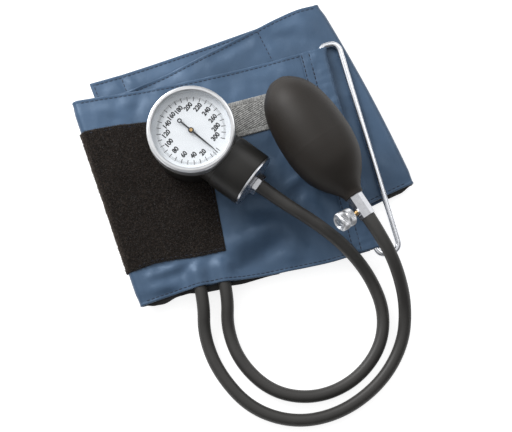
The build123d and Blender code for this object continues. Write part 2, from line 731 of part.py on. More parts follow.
with BuildPart() as capsule_nut:
    with BuildSketch(NECK.offset(NECK_END - 3.6)):
        RegularPolygon(4.0, 6, major_radius=False)
        Circle(2.5, mode=Mode.SUBTRACT)
    extrude(amount=2.1)
finish(capsule_nut, "capsule_nut")

# ------------------------------------------------------------------ pointer
with BuildPart() as pointer:
    with BuildSketch(level(POINTER_Z).rotated((0, 0, DIAL_TURN))):
        with BuildLine():
            Polyline(
                (POINTER_TIP, 0.12),
                (POINTER_TIP - 1.5, 0.26),
                (0, 0.5),
                (-POINTER_TAIL + 0.8, 0.42),
                (-POINTER_TAIL + 0.8, -0.42),
                (0, -0.5),
                (POINTER_TIP - 1.5, -0.26),
                (POINTER_TIP, -0.12),
                close=True,
            )
        make_face()
        Circle(1.75)
        with Locations((-POINTER_TAIL, 0)):
            Circle(1.3)
            Circle(0.6, mode=Mode.SUBTRACT)
        Circle(ARBOR_R, mode=Mode.SUBTRACT)
    extrude(amount=0.4)
finish(pointer, "pointer")

with BuildPart() as pointer_hub:
    disc(level(POINTER_Z + 0.4), 1.0, 0.8)
    disc(level(POINTER_Z + 0.4), ARBOR_R, 0.2, mode=Mode.SUBTRACT)
finish(pointer_hub, "pointer_hub")

# ------------------------------------------------------------------ bulb
ALONG = (math.cos(math.radians(BULB_ANGLE)), math.sin(math.radians(BULB_ANGLE)), 0)
TIP = (BULB_NECK[0] - BULB_LENGTH * ALONG[0], BULB_NECK[1] - BULB_LENGTH * ALONG[1], BULB_Z)
BULB_AXIS = Plane(origin=TIP, x_dir=(0, 0, 1), z_dir=ALONG)
BULB_BORE_R = 3.6


def on_axis(distance):
    """Plane across the bulb's axis at a distance from its tip."""
    return BULB_AXIS.offset(distance)


with BuildPart() as bulb:
    with BuildSketch(Plane(origin=TIP, x_dir=(0, 0, 1), z_dir=-BULB_AXIS.y_dir)):
        with BuildLine():
            Spline(
                (5.4, 0),
                (13.6, 7.0),
                (19.6, 20.0),
                (BULB_R, 42.0),
                (19.9, 60.5),
                (13.4, 73.0),
                (6.1, BULB_LENGTH),
                tangents=((0.97, 0.24), (-0.25, 0.97)),
            )
            Line((6.1, BULB_LENGTH), (BULB_BORE_R, BULB_LENGTH))
            Line((BULB_BORE_R, BULB_LENGTH), (BULB_BORE_R, 73.5))
            Spline(
                (BULB_BORE_R, 73.5),
                (10.2, 70.5),
                (17.1, 60.0),
                (19.4, 42.0),
                (16.9, 20.5),
                (10.2, 9.8),
                (BULB_BORE_R, 7.0),
            )
            Line((BULB_BORE_R, 7.0), (BULB_BORE_R, 0))
            Line((BULB_BORE_R, 0), (5.4, 0))
        make_face()
    revolve(axis=Axis(TIP, ALONG))
finish(bulb, "bulb")

# air inlet in the bulb's tip, with a ball that lifts off its seat as the bulb fills
with BuildPart() as inlet_valve_seat:
    disc(on_axis(-1.0), 4.9, 1.0)
    disc(on_axis(0), BULB_BORE_R, 8.0)
    disc(on_axis(-1.0), 0.9, 12, mode=Mode.SUBTRACT)
    disc(on_axis(-1.0), 3.0, 0.5, mode=Mode.SUBTRACT)
    disc(on_axis(2.0), 2.1, 4.8, mode=Mode.SUBTRACT)
finish(inlet_valve_seat, "inlet_valve_seat")

with BuildPart() as inlet_filter:
    disc(on_axis(-1.0), 3.0, 0.5)
    with BuildSketch(on_axis(-1.0)):
        with GridLocations(0.9, 0.9, 5, 5):
            Rectangle(0.5, 0.5)
        Circle(2.7, mode=Mode.INTERSECT)
    extrude(amount=0.5, mode=Mode.SUBTRACT)
finish(inlet_filter, "inlet_filter")

BALL_R = 1.6
BALL_TRAVEL = 0.8
with BuildPart() as inlet_ball:
    with Locations(on_axis(2.0 + math.sqrt(BALL_R**2 - 0.9**2) + 0.02).origin):
        Sphere(BALL_R)
finish(inlet_ball, "inlet_ball")

# ------------------------------------------------------------------ release valve
NORMAL = Vector(*ALONG).rotate(Axis.Z, -90)
KNOB_DIR = NORMAL * math.cos(math.radians(KNOB_TILT)) + Vector(0, 0, 1) * math.sin(math.radians(KNOB_TILT))
VALVE_AXIS = Plane(origin=on_axis(BULB_LENGTH + KNOB_SEAT).origin, x_dir=ALONG, z_dir=KNOB_DIR)


def on_knob(distance):
    """Plane across the release screw's axis at a distance from the valve's own axis."""
    return VALVE_AXIS.offset(distance)


HEX_PLANE = Plane(origin=on_axis(BULB_LENGTH).origin, x_dir=KNOB_DIR, z_dir=ALONG)
SPIGOT = 14.0
with BuildPart() as valve_body:
    with BuildSketch(HEX_PLANE):
        RegularPolygon(VALVE_AF / 2, 6, major_radius=False, rotation=30)
    extrude(amount=VALVE_LENGTH)
    turned(
        on_axis(BULB_LENGTH),
        ((0, -SPIGOT), (BULB_BORE_R - 0.6, -SPIGOT), (BULB_BORE_R, -SPIGOT + 2), (BULB_BORE_R, 0), (0, 0)),
    )
    disc(on_axis(BULB_LENGTH + VALVE_LENGTH), BARB_R, BARB_LENGTH)
    disc(on_knob(VALVE_AF / 2), 2.6, 1.0)
    disc(on_axis(BULB_LENGTH - SPIGOT), 0.9, 60, mode=Mode.SUBTRACT)
    disc(on_axis(BULB_LENGTH - SPIGOT + 2), 2.0, 5.0, mode=Mode.SUBTRACT)
    disc(on_knob(0), 0.6, 3, mode=Mode.SUBTRACT)
    disc(on_knob(2.0), SCREW_R + RUNNING_GAP, 8, mode=Mode.SUBTRACT)
finish(valve_body, "valve_body")

with BuildPart() as outlet_ball:
    with Locations(on_axis(BULB_LENGTH - SPIGOT + 2 + math.sqrt(BALL_R**2 - 0.9**2) + 0.02).origin):
        Sphere(BALL_R)
finish(outlet_ball, "outlet_ball")

# the pad at the screw's inner end swivels, so that it seats without turning
PAD_NEAR = 2.9
PAD_SHOULDER = 4.1
PAD_FAR = 4.6
with BuildPart() as seat_pad:
    turned(
        VALVE_AXIS,
        (
            (0, PAD_NEAR),
            (0.3, PAD_NEAR),
            (SCREW_R - 0.05, PAD_SHOULDER),
            (SCREW_R - 0.05, PAD_FAR),
            (0, PAD_FAR),
        ),
    )
finish(seat_pad, "seat_pad")

with BuildPart() as release_screw:
    disc(on_knob(PAD_FAR + 2 * RUNNING_GAP), SCREW_R, KNOB_FAR - 3.0 - PAD_FAR - 2 * RUNNING_GAP)
finish(release_screw, "release_screw")

KNURL_TEETH = 32
RING_LENGTH = 4.4
with BuildPart() as knob:
    turned(
        VALVE_AXIS,
        (
            (0, KNOB_NEAR),
            (KNOB_R - 0.7, KNOB_NEAR),
            (KNOB_R - 0.7, KNOB_FAR - 0.6),
            (KNOB_R - 1.2, KNOB_FAR),
            (0, KNOB_FAR),
        ),
    )
    for ring_start in (KNOB_NEAR + 0.6, KNOB_NEAR + 6.0):
        with BuildSketch(on_knob(ring_start)):
            with BuildLine():
                knurl = []
                for count in range(2 * KNURL_TEETH):
                    turn = math.pi * count / KNURL_TEETH
                    reach = KNOB_R if count % 2 else KNOB_R - 0.5
                    knurl.append((reach * math.cos(turn), reach * math.sin(turn)))
                Polyline(*knurl, close=True)
            make_face()
        extrude(amount=RING_LENGTH)
    disc(on_knob(KNOB_FAR - 1.2), KNOB_R - 2.0, 2, mode=Mode.SUBTRACT)
    disc(on_knob(KNOB_NEAR), SCREW_R, KNOB_FAR - KNOB_NEAR - 3.0, mode=Mode.SUBTRACT)
    disc(on_knob(KNOB_FAR - 3.0), 0.9, 3, mode=Mode.SUBTRACT)
finish(knob, "knob")

with BuildPart() as knob_screw:
    disc(on_knob(KNOB_FAR - 3.0), 0.9, 1.8)
    disc(on_knob(KNOB_FAR - 1.2), 2.2, 0.9)
    with BuildSketch(on_knob(KNOB_FAR - 0.8)):
        Rectangle(6, 0.7, rotation=35)
    extrude(amount=1, mode=Mode.SUBTRACT)
finish(knob_screw, "knob_screw")
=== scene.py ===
import math

import bmesh
import bpy
import numpy as np
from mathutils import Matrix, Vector


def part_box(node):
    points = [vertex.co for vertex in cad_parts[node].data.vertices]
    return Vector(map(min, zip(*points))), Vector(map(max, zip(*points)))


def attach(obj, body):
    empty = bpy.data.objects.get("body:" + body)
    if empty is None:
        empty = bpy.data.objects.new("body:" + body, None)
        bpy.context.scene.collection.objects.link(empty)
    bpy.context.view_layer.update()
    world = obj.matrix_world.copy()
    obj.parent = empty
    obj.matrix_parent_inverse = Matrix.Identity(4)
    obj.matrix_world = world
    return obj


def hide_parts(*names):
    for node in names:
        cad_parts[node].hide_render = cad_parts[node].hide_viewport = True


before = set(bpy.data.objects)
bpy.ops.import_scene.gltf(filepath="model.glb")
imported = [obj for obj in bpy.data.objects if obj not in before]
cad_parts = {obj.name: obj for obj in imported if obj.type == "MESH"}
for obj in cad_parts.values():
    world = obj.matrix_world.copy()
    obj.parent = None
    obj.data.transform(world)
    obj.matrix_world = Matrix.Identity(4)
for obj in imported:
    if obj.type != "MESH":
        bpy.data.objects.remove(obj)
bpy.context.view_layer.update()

# Aneroid blood pressure set. Lengths in this file are millimetres; every mesh is written in metres.
MM = 0.001
scene = bpy.context.scene


def mm_box(node):
    """(low, high) corner of a CAD node in millimetres."""
    low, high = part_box(node)
    return np.array(low) / MM, np.array(high) / MM


# ---- camera
AIM = Vector((-0.0035, -0.0383, 0.0))
CAMERA_AZIMUTH = math.radians(-15)
CAMERA_ELEVATION = math.radians(80)
CAMERA_DISTANCE = 1.0

backward = Vector(
    (
        math.sin(CAMERA_AZIMUTH) * math.cos(CAMERA_ELEVATION),
        -math.cos(CAMERA_AZIMUTH) * math.cos(CAMERA_ELEVATION),
        math.sin(CAMERA_ELEVATION),
    )
)
camera_data = bpy.data.cameras.new("camera")
camera_data.lens = 110.7
camera_data.sensor_width = 36.0
camera_data.clip_start = 0.05
camera_data.clip_end = 20.0
camera = bpy.data.objects.new("camera", camera_data)
camera.location = AIM + backward * CAMERA_DISTANCE
camera.rotation_mode = "QUATERNION"
camera.rotation_quaternion = (-backward).to_track_quat("-Z", "Y")
scene.collection.objects.link(camera)
scene.camera = camera

# ---- materials


def shader(name, colour, roughness, metallic=0.0, **inputs):
    """A Principled material; inputs are its constant sockets by name with underscores."""
    made = bpy.data.materials.new(name)
    made.use_nodes = True
    made.diffuse_color = (*colour, 1.0)
    surface = made.node_tree.nodes["Principled BSDF"]
    surface.inputs["Base Color"].default_value = (*colour, 1.0)
    surface.inputs["Roughness"].default_value = roughness
    surface.inputs["Metallic"].default_value = metallic
    for key, value in inputs.items():
        surface.inputs[key.replace("_", " ")].default_value = value
    return made


def node(material, kind, **settings):
    """A new shader node in a material."""
    added = material.node_tree.nodes.new(kind)
    for key, value in settings.items():
        setattr(added, key, value)
    return added


def wire(material, start, start_socket, end, end_socket):
    material.node_tree.links.new(start.outputs[start_socket], end.inputs[end_socket])


def surface_of(material):
    return material.node_tree.nodes["Principled BSDF"]


def noise(material, scale, detail=3.0):
    """A noise texture on object coordinates."""
    where = node(material, "ShaderNodeTexCoord")
    texture = node(material, "ShaderNodeTexNoise")
    texture.inputs["Scale"].default_value = scale
    texture.inputs["Detail"].default_value = detail
    wire(material, where, "Object", texture, "Vector")
    return texture


def tint(material, source, tones):
    """Colour ramp from a noise to the base colour; tones are (place, colour)."""
    ramp = node(material, "ShaderNodeValToRGB")
    wire(material, source, "Fac", ramp, "Fac")
    while len(ramp.color_ramp.elements) < len(tones):
        ramp.color_ramp.elements.new(0.5)
    for element, (place, colour) in zip(ramp.color_ramp.elements, tones):
        element.position = place
        element.color = (*colour, 1.0)
    wire(material, ramp, "Color", surface_of(material), "Base Color")


def roughness_range(material, source, low, high):
    spread = node(material, "ShaderNodeMapRange")
    spread.inputs["To Min"].default_value = low
    spread.inputs["To Max"].default_value = high
    wire(material, source, "Fac", spread, "Value")
    wire(material, spread, "Result", surface_of(material), "Roughness")


def bump(material, source, strength, distance, socket="Fac", after=None):
    """Bump from a height; several are chained through after."""
    made = node(material, "ShaderNodeBump")
    made.inputs["Strength"].default_value = strength
    made.inputs["Distance"].default_value = distance
    wire(material, source, socket, made, "Height")
    if after:
        wire(material, after, "Normal", made, "Normal")
    wire(material, made, "Normal", surface_of(material), "Normal")
    return made


def shaded(colour, share):
    return tuple(min(1.0, channel * share) for channel in colour)


def mottled(
    name, colour, roughness, scale, detail=3.0, tones=(), spread=(), grain=(), metallic=0.0, **inputs
):
    """A material with one noise behind its tones, (low, high) roughness and (strength, distance) bump."""
    made = shader(name, colour, roughness, metallic, **inputs)
    source = noise(made, scale, detail)
    if tones:
        tint(made, source, tones)
    if spread:
        roughness_range(made, source, *spread)
    if grain:
        bump(made, source, *grain)
    return made


def nylon(name, colour):
    """Plain-weave nylon: fine crossed threads, a silky crinkle and slightly uneven dye."""
    gloss = {"Specular_IOR_Level": 0.75, "Specular_Tint": (0.62, 0.78, 1.0, 1.0)}
    dye = ((0.3, shaded(colour, 0.86)), (0.7, shaded(colour, 1.14)))
    made = mottled(name, colour, 0.44, 38.0, 4.0, dye, **gloss, **SHEEN)
    where = node(made, "ShaderNodeTexCoord")
    cross = node(made, "ShaderNodeMath", operation="MULTIPLY")
    for index, direction in enumerate("XY"):
        band = node(made, "ShaderNodeTexWave", wave_type="BANDS", bands_direction=direction)
        band.inputs["Scale"].default_value = 520.0
        band.inputs["Distortion"].default_value = 0.4
        wire(made, where, "UV", band, "Vector")
        wire(made, band, "Fac", cross, index)
    weave = bump(made, cross, 0.22, 0.00012, "Value")
    crinkle = noise(made, 160.0, 5.0)
    bump(made, crinkle, 0.28, 0.0007, after=weave)
    roughness_range(made, crinkle, 0.38, 0.52)
    return made


SHELL_BLUE = (0.044, 0.0825, 0.144)
SHEEN = {"Sheen_Weight": 0.3, "Sheen_Roughness": 0.4, "Sheen_Tint": (0.62, 0.75, 1.0, 1.0)}
shell_nylon = nylon("shell_nylon", SHELL_BLUE)
lining_nylon = nylon("lining_nylon", shaded(SHELL_BLUE, 0.94))

thread_tones = ((0.3, (0.007, 0.013, 0.03)), (0.7, (0.014, 0.024, 0.052)))
thread = mottled("thread", (0.010, 0.018, 0.04), 0.6, 900.0, tones=thread_tones, Sheen_Weight=0.1)
bump(thread, noise(thread, 4000.0), 0.4, 0.0001)

pile = mottled(
    "loop_pile", (0.016, 0.012, 0.010), 0.95, 900.0, 5.0,
    ((0.38, (0.004, 0.003, 0.0027)), (0.56, (0.012, 0.0095, 0.008)), (0.70, (0.038, 0.030, 0.025))),
    grain=(0.9, 0.0012), Specular_IOR_Level=0.15,
    Sheen_Weight=0.25, Sheen_Roughness=0.5, Sheen_Tint=(0.8, 0.65, 0.55, 1.0),
)
fibre_tones = ((0.38, (0.005, 0.004, 0.0034)), (0.68, (0.034, 0.027, 0.023)))
fibre = mottled("pile_fibre", (0.024, 0.019, 0.016), 0.8, 260.0, tones=fibre_tones, Sheen_Weight=0.15)

hook_tones = ((0.3, (0.015, 0.015, 0.017)), (0.7, (0.028, 0.028, 0.03)))
hook_plastic = mottled("hook_tape", (0.02, 0.02, 0.022), 0.5, 60.0, tones=hook_tones)
bump(hook_plastic, noise(hook_plastic, 1500.0), 0.3, 0.0003)

webbing = mottled(
    "webbing", (0.24, 0.24, 0.235), 0.8, 700.0, 4.0,
    ((0.34, (0.15, 0.15, 0.146)), (0.66, (0.37, 0.37, 0.36))), grain=(0.5, 0.0003), Sheen_Weight=0.3,
)


def metal(name, colour, roughness, scale, detail, darker, lighter, places, spread, grain=(), metallic=1.0):
    tones = tuple(zip(places, (darker, lighter)))
    return mottled(name, colour, roughness, scale, detail, tones, spread, grain, metallic)


chrome = metal(
    "chrome_wire", (0.78, 0.8, 0.84), 0.2, 90.0, 4.0,
    (0.72, 0.74, 0.78), (0.84, 0.86, 0.9), (0.2, 0.8), (0.2, 0.3),
)
fitting = metal(
    "chrome_fitting", (0.72, 0.73, 0.76), 0.26, 420.0, 5.0,
    (0.52, 0.53, 0.56), (0.68, 0.69, 0.72), (0.2, 0.8), (0.2, 0.36), (0.02, 0.0002),
)
knurled = metal(
    "knurled_chrome", (0.7, 0.71, 0.73), 0.34, 500.0, 3.0,
    (0.62, 0.63, 0.65), (0.76, 0.77, 0.79), (0.2, 0.8), (0.32, 0.42), metallic=0.95,
)
satin_metal = metal(
    "bezel_metal", (0.74, 0.75, 0.76), 0.26, 240.0, 4.0,
    (0.68, 0.69, 0.71), (0.78, 0.79, 0.8), (0.2, 0.8), (0.25, 0.4), metallic=0.9,
)
brass = metal(
    "brass_parts", (0.66, 0.44, 0.19), 0.25, 500.0, 4.0,
    (0.55, 0.34, 0.13), (0.75, 0.52, 0.25), (0.3, 0.7), (0.18, 0.36),
)
steel = metal(
    "steel_parts", (0.6, 0.61, 0.62), 0.28, 800.0, 4.0,
    (0.52, 0.53, 0.54), (0.68, 0.69, 0.70), (0.3, 0.7), (0.2, 0.36),
)


def rubber(name, colour, roughness, grain, depth):
    """Matt moulded rubber with fine grain and faint bloom."""
    bloom = ((0.3, shaded(colour, 0.82)), (0.72, shaded(colour, 1.22)))
    spread = (roughness - 0.05, roughness + 0.08)
    made = mottled(name, colour, roughness, 30.0, 4.0, bloom, spread, Specular_IOR_Level=0.4)
    bump(made, noise(made, grain, 4.0), 0.12, depth)
    return made


bulb_rubber = rubber("bulb_rubber", (0.0158, 0.0122, 0.0095), 0.56, 900.0, 0.0003)
hose_rubber = rubber("hose_rubber", (0.039, 0.0375, 0.0355), 0.46, 1100.0, 0.0002)
bladder_rubber = rubber("bladder_rubber", (0.02, 0.02, 0.02), 0.6, 700.0, 0.0003)
case_black = rubber("case_black", (0.017, 0.016, 0.0145), 0.42, 1400.0, 0.00015)

dial_tones = ((0.3, (0.76, 0.79, 0.82)), (0.7, (0.80, 0.83, 0.86)))
dial_white = mottled("dial_white", (0.78, 0.81, 0.84), 0.5, 120.0, tones=dial_tones)
ink_tones = ((0.3, (0.008, 0.008, 0.009)), (0.7, (0.02, 0.02, 0.022)))
ink = mottled("dial_print", (0.012, 0.012, 0.013), 0.5, 900.0, tones=ink_tones)
faint_tones = ((0.3, (0.13, 0.14, 0.15)), (0.7, (0.2, 0.21, 0.22)))
faint_ink = mottled("dial_print_fine", (0.16, 0.17, 0.18), 0.5, 900.0, tones=faint_tones)
pointer_black = mottled("pointer_black", (0.006, 0.006, 0.007), 0.35, 600.0, spread=(0.28, 0.45))
crystal = mottled("lens_clear", (0.3, 0.34, 0.38), 0.03, 60.0, spread=(0.015, 0.05), Alpha=0.035)

# ---- pieces from mesh code


def finish_piece(obj, material, body, stands_for=()):
    """Link a piece, give it its material and let it ride on a body."""
    scene.collection.objects.link(obj)
    obj.data.materials.append(material)
    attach(obj, body)
    if stands_for:
        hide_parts(*stands_for)
    return obj


def mesh_object(name, points, faces):
    """A mesh object from points in millimetres, with its normals made outward."""
    data = bpy.data.meshes.new(name)
    data.from_pydata([tuple(point) for point in np.asarray(points, float) * MM], [], faces)
    shape = bmesh.new()
    shape.from_mesh(data)
    bmesh.ops.recalc_face_normals(shape, faces=shape.faces)
    shape.to_mesh(data)
    shape.free()
    return bpy.data.objects.new(name, data)


def add_piece(name, shape, material, stands_for=(), sharp=None, body="set"):
    """A smooth-shaded mesh piece from (points, faces); edges over sharp degrees stay sharp."""
    obj = mesh_object(name, *shape)
    obj.data.shade_smooth()
    if sharp:
        obj.data.set_sharp_from_angle(angle=math.radians(sharp))
    return finish_piece(obj, material, body, stands_for)


def ease(value):
    """A smooth step from 0 to 1 as the value goes from 0 to 1."""
    value = np.clip(value, 0.0, 1.0)
    return value * value * (3 - 2 * value)


def bell(value):
    return np.exp(-(value**2))


def unit(vector):
    vector = np.asarray(vector, float)
    return vector / np.linalg.norm(vector)


def ring(centre, side, up, radius, count):
    """Points evenly round a centre, in the plane of two unit vectors."""
    turns = 2 * math.pi * np.arange(count) / count
    return [centre + (side * math.cos(turn) + up * math.sin(turn)) * radius for turn in turns]


def ring_faces(first, second, sides):
    """Quads between two rings of points, given by the index that each starts at."""
    around = [(count, (count + 1) % sides) for count in range(sides)]
    return [(first + count, first + after, second + after, second + count) for count, after in around]


def lathe(profile, origin, axis, segments=96, closed=True):
    """Points and faces of a turned shape; profile is (radius, distance along the axis)."""
    axis = unit(axis)
    side = unit(np.cross(axis, (0.0, 0.0, 1.0)) if abs(axis[2]) < 0.9 else (1.0, 0.0, 0.0))
    up = np.cross(axis, side)
    points = []
    rings = []
    for radius, along in profile:
        centre = np.asarray(origin, float) + axis * along
        made = ring(centre, side, up, radius, segments) if radius > 0 else [centre]
        rings.append([len(points) + index % len(made) for index in range(segments)])
        points += made
    faces = []
    for first, second in zip(rings, rings[1:] + (rings[:1] if closed else [])):
        for corners in zip(first, first[1:] + first[:1], second[1:] + second[:1], second):
            face = tuple(dict.fromkeys(corners))
            if len(face) > 2:
                faces.append(face)
    return points, faces


def gather(runs):
    """Several (points, faces) as one."""
    points = []
    faces = []
    for run_points, run_faces in runs:
        base = len(points)
        points.extend(run_points)
        faces.extend(tuple(index + base for index in face) for face in run_faces)
    return points, faces


def closed_sheet(outer, inner):
    """Points and faces of a closed sheet from two grids of the same size."""
    columns, rows = outer.shape[:2]
    points = np.concatenate([outer.reshape(-1, 3), inner.reshape(-1, 3)])
    faces = []
    inside = columns * rows

    def at(column, row):
        return column * rows + row

    for column in range(columns - 1):
        for row in range(rows - 1):
            quad = (at(column, row), at(column, row + 1), at(column + 1, row + 1), at(column + 1, row))
            faces.append(quad)
            faces.append(tuple(inside + index for index in quad)[::-1])
    border = [at(column, 0) for column in range(columns)]
    border += [at(columns - 1, row) for row in range(1, rows)]
    border += [at(column, rows - 1) for column in range(columns - 2, -1, -1)]
    border += [at(0, row) for row in range(rows - 2, 0, -1)]
    for first, second in zip(border, border[1:] + border[:1]):
        faces.append((first, second, inside + second, inside + first))
    return points, faces


def curve_through(points, steps):
    """Points on a smooth curve through the given ones."""
    points = np.asarray(points, float)
    padded = np.vstack([2 * points[0] - points[1], points, 2 * points[-1] - points[-2]])
    share = np.arange(steps)[:, None] / steps
    made = []
    for before, start, end, after in zip(padded, padded[1:], padded[2:], padded[3:]):
        bend = (2 * before - 5 * start + 4 * end - after) * share**2
        bend = bend + (3 * start - before - 3 * end + after) * share**3
        made.append(0.5 * (2 * start + (end - before) * share + bend))
    return np.vstack([*made, points[-1:]])


# ---- the two hoses
HOSE_R = 4.0
GAUGE_HOSE_ROUTE = (
    (2.2, -26.75, 34.6), (12.65, -39.9, 34.6), (30.0, -56.9, 28.0), (44.9, -75.2, 20.5), (55.3, -95.8, 9.0),
    (58.3, -119.4, 4.3), (48.9, -141.1, 4.3), (27.6, -156.2, 4.3), (1.7, -159.5, 4.3), (-22.2, -149.4, 4.3),
    (-37.0, -127.1, 4.3), (-39.8, -103.5, 4.5), (-33.7, -84.0, 12.2), (-33.7, -69.0, 12.2),
)
BULB_HOSE_ROUTE = (
    (60.89, -62.45, 37.0), (66.2, -78.6, 37.0), (70.5, -97.0, 28.5), (71.5, -118.3, 12.0),
    (64.1, -140.9, 4.3), (44.4, -160.9, 4.3), (15.6, -172.5, 4.3), (-13.4, -171.0, 4.3),
    (-38.1, -155.6, 4.3), (-51.8, -129.0, 4.3), (-54.8, -103.7, 4.5), (-49.1, -84.0, 12.2),
    (-49.1, -69.0, 12.2),
)


def hose(name, route, node_name):
    """A rubber hose on one smooth spline, stretched a little over the barb that it is pushed on to."""
    curve = bpy.data.curves.new(name, "CURVE")
    curve.dimensions = "3D"
    curve.bevel_depth = HOSE_R * MM
    curve.bevel_resolution = 10
    curve.resolution_u = 20
    curve.use_fill_caps = True
    spline = curve.splines.new("NURBS")
    spline.points.add(len(route) - 1)
    for point, place in zip(spline.points, route):
        point.co = (place[0] * MM, place[1] * MM, place[2] * MM, 1.0)
    spline.points[0].radius = 1.13
    spline.points[1].radius = 1.0
    spline.order_u = 3
    spline.use_endpoint_u = True
    obj = bpy.data.objects.new(name, curve)
    finish_piece(obj, hose_rubber, "set", (node_name,))
    return obj


hose("gauge_hose_rubber", GAUGE_HOSE_ROUTE, "gauge_hose")
hose("bulb_hose_rubber", BULB_HOSE_ROUTE, "bulb_hose")

# ---- the folded cloth
FOLD_R = 2.7
WIDTH = 134.0
LENGTHS = {"top": 153.0, "left_fold": 8.5, "middle": 168.0, "right_fold": 8.5, "bottom": 156.0}
FREE_REACH = 155.0
TOP_Z, MIDDLE_Z, BOTTOM_Z = 12.4, 7.0, 1.6
LEFT_AXIS_Z, RIGHT_AXIS_Z = 9.7, 4.3
CLOTH_T = 0.7
HALF_FILL = 0.85
HEM_STITCH = 2.1
END_STITCH = 2.4
PORTS = (-33.2, -48.6)
PORT_Z = 12.2

LEFT_TOP = (-94.9, 60.9)
LEFT_BOTTOM = (-84.7, -77.0)
RIGHT_TOP = (67.3, 84.1)
RIGHT_BOTTOM = (95.0, -45.6)
EDGES = {
    "top": (
        ((59.2, 54.4), (50.3, 54.1), (30.8, 53.8), (10.6, 53.9), (-12.0, 54.5), (-34.0, 55.5),
         (-53.0, 56.7), (-68.0, 58.1), (-80.0, 59.5), LEFT_TOP),
        ((59.2, -80.2), (43.3, -80.6), (26.0, -80.3), (10.0, -79.3), (-6.0, -78.5), (-22.0, -77.3),
         (-36.0, -75.5), (-48.0, -74.6), (-60.0, -74.8), (-72.0, -75.9), LEFT_BOTTOM),
    ),
    "middle": (
        (LEFT_TOP, (-76.0, 59.6), (-58.0, 60.2), (-36.0, 64.2), (-12.0, 69.6), (8.0, 74.2),
         (28.0, 78.7), (48.0, 83.1), (58.0, 84.7), RIGHT_TOP),
        (LEFT_BOTTOM, (-40.0, -69.0), (20.0, -60.0), (67.7, -50.8), (84.0, -47.2), RIGHT_BOTTOM),
    ),
    "bottom": (
        (RIGHT_TOP, (56.0, 83.2), (28.0, 80.0), (8.0, 78.2), (-12.0, 76.5), (-38.0, 74.5),
         (-64.0, 72.8), (-84.8, 72.4)),
        (RIGHT_BOTTOM, (84.0, -48.6), (67.7, -52.2), (20.0, -58.0), (-40.0, -62.0), (-71.0, -63.0)),
    ),
}


def even_edge(points):
    """An edge as 201 evenly spaced points, with its corners eased."""
    points = np.asarray(points, float)
    steps = np.linalg.norm(np.diff(points, axis=0), axis=1)
    shares = np.concatenate([[0.0], np.cumsum(steps)]) / steps.sum()
    even = np.linspace(0.0, 1.0, 201)
    line = np.stack([np.interp(even, shares, points[:, axis]) for axis in (0, 1)], axis=-1)
    for _ in range(60):
        line[1:-1] = line[1:-1] * 0.5 + (line[:-2] + line[2:]) * 0.25
    return line


EDGE_LINES = {panel: tuple(even_edge(edge) for edge in pair) for panel, pair in EDGES.items()}
# a flat panel's height and the way its shell faces; a fold's ends, axis height, way out and facing
LEVELS = {"top": (TOP_Z, 1.0), "middle": (MIDDLE_Z, -1.0), "bottom": (BOTTOM_Z, 1.0)}
FOLDS = {
    "left_fold": (LEFT_TOP, LEFT_BOTTOM, LEFT_AXIS_Z, -1.0, 1.0),
    "right_fold": (RIGHT_TOP, RIGHT_BOTTOM, RIGHT_AXIS_Z, 1.0, -1.0),
}


def on_edge(line, share):
    place = np.clip(share, 0.0, 1.0) * (len(line) - 1)
    return np.stack([np.interp(place, np.arange(len(line)), line[:, axis]) for axis in (0, 1)], axis=-1)


def waves(x, y, length, seed, count=10):
    """A smooth uneven field, about -1 to 1, with a given typical wavelength."""
    source = np.random.default_rng(seed)
    total = np.zeros(np.broadcast(x, y).shape)
    for _ in range(count):
        turn = source.uniform(0, 2 * math.pi)
        step = 2 * math.pi / (length * source.uniform(0.7, 1.5))
        way = x * math.cos(turn) + y * math.sin(turn)
        total = total + np.sin(way * step + source.uniform(0, 2 * math.pi))
    return total / math.sqrt(count)


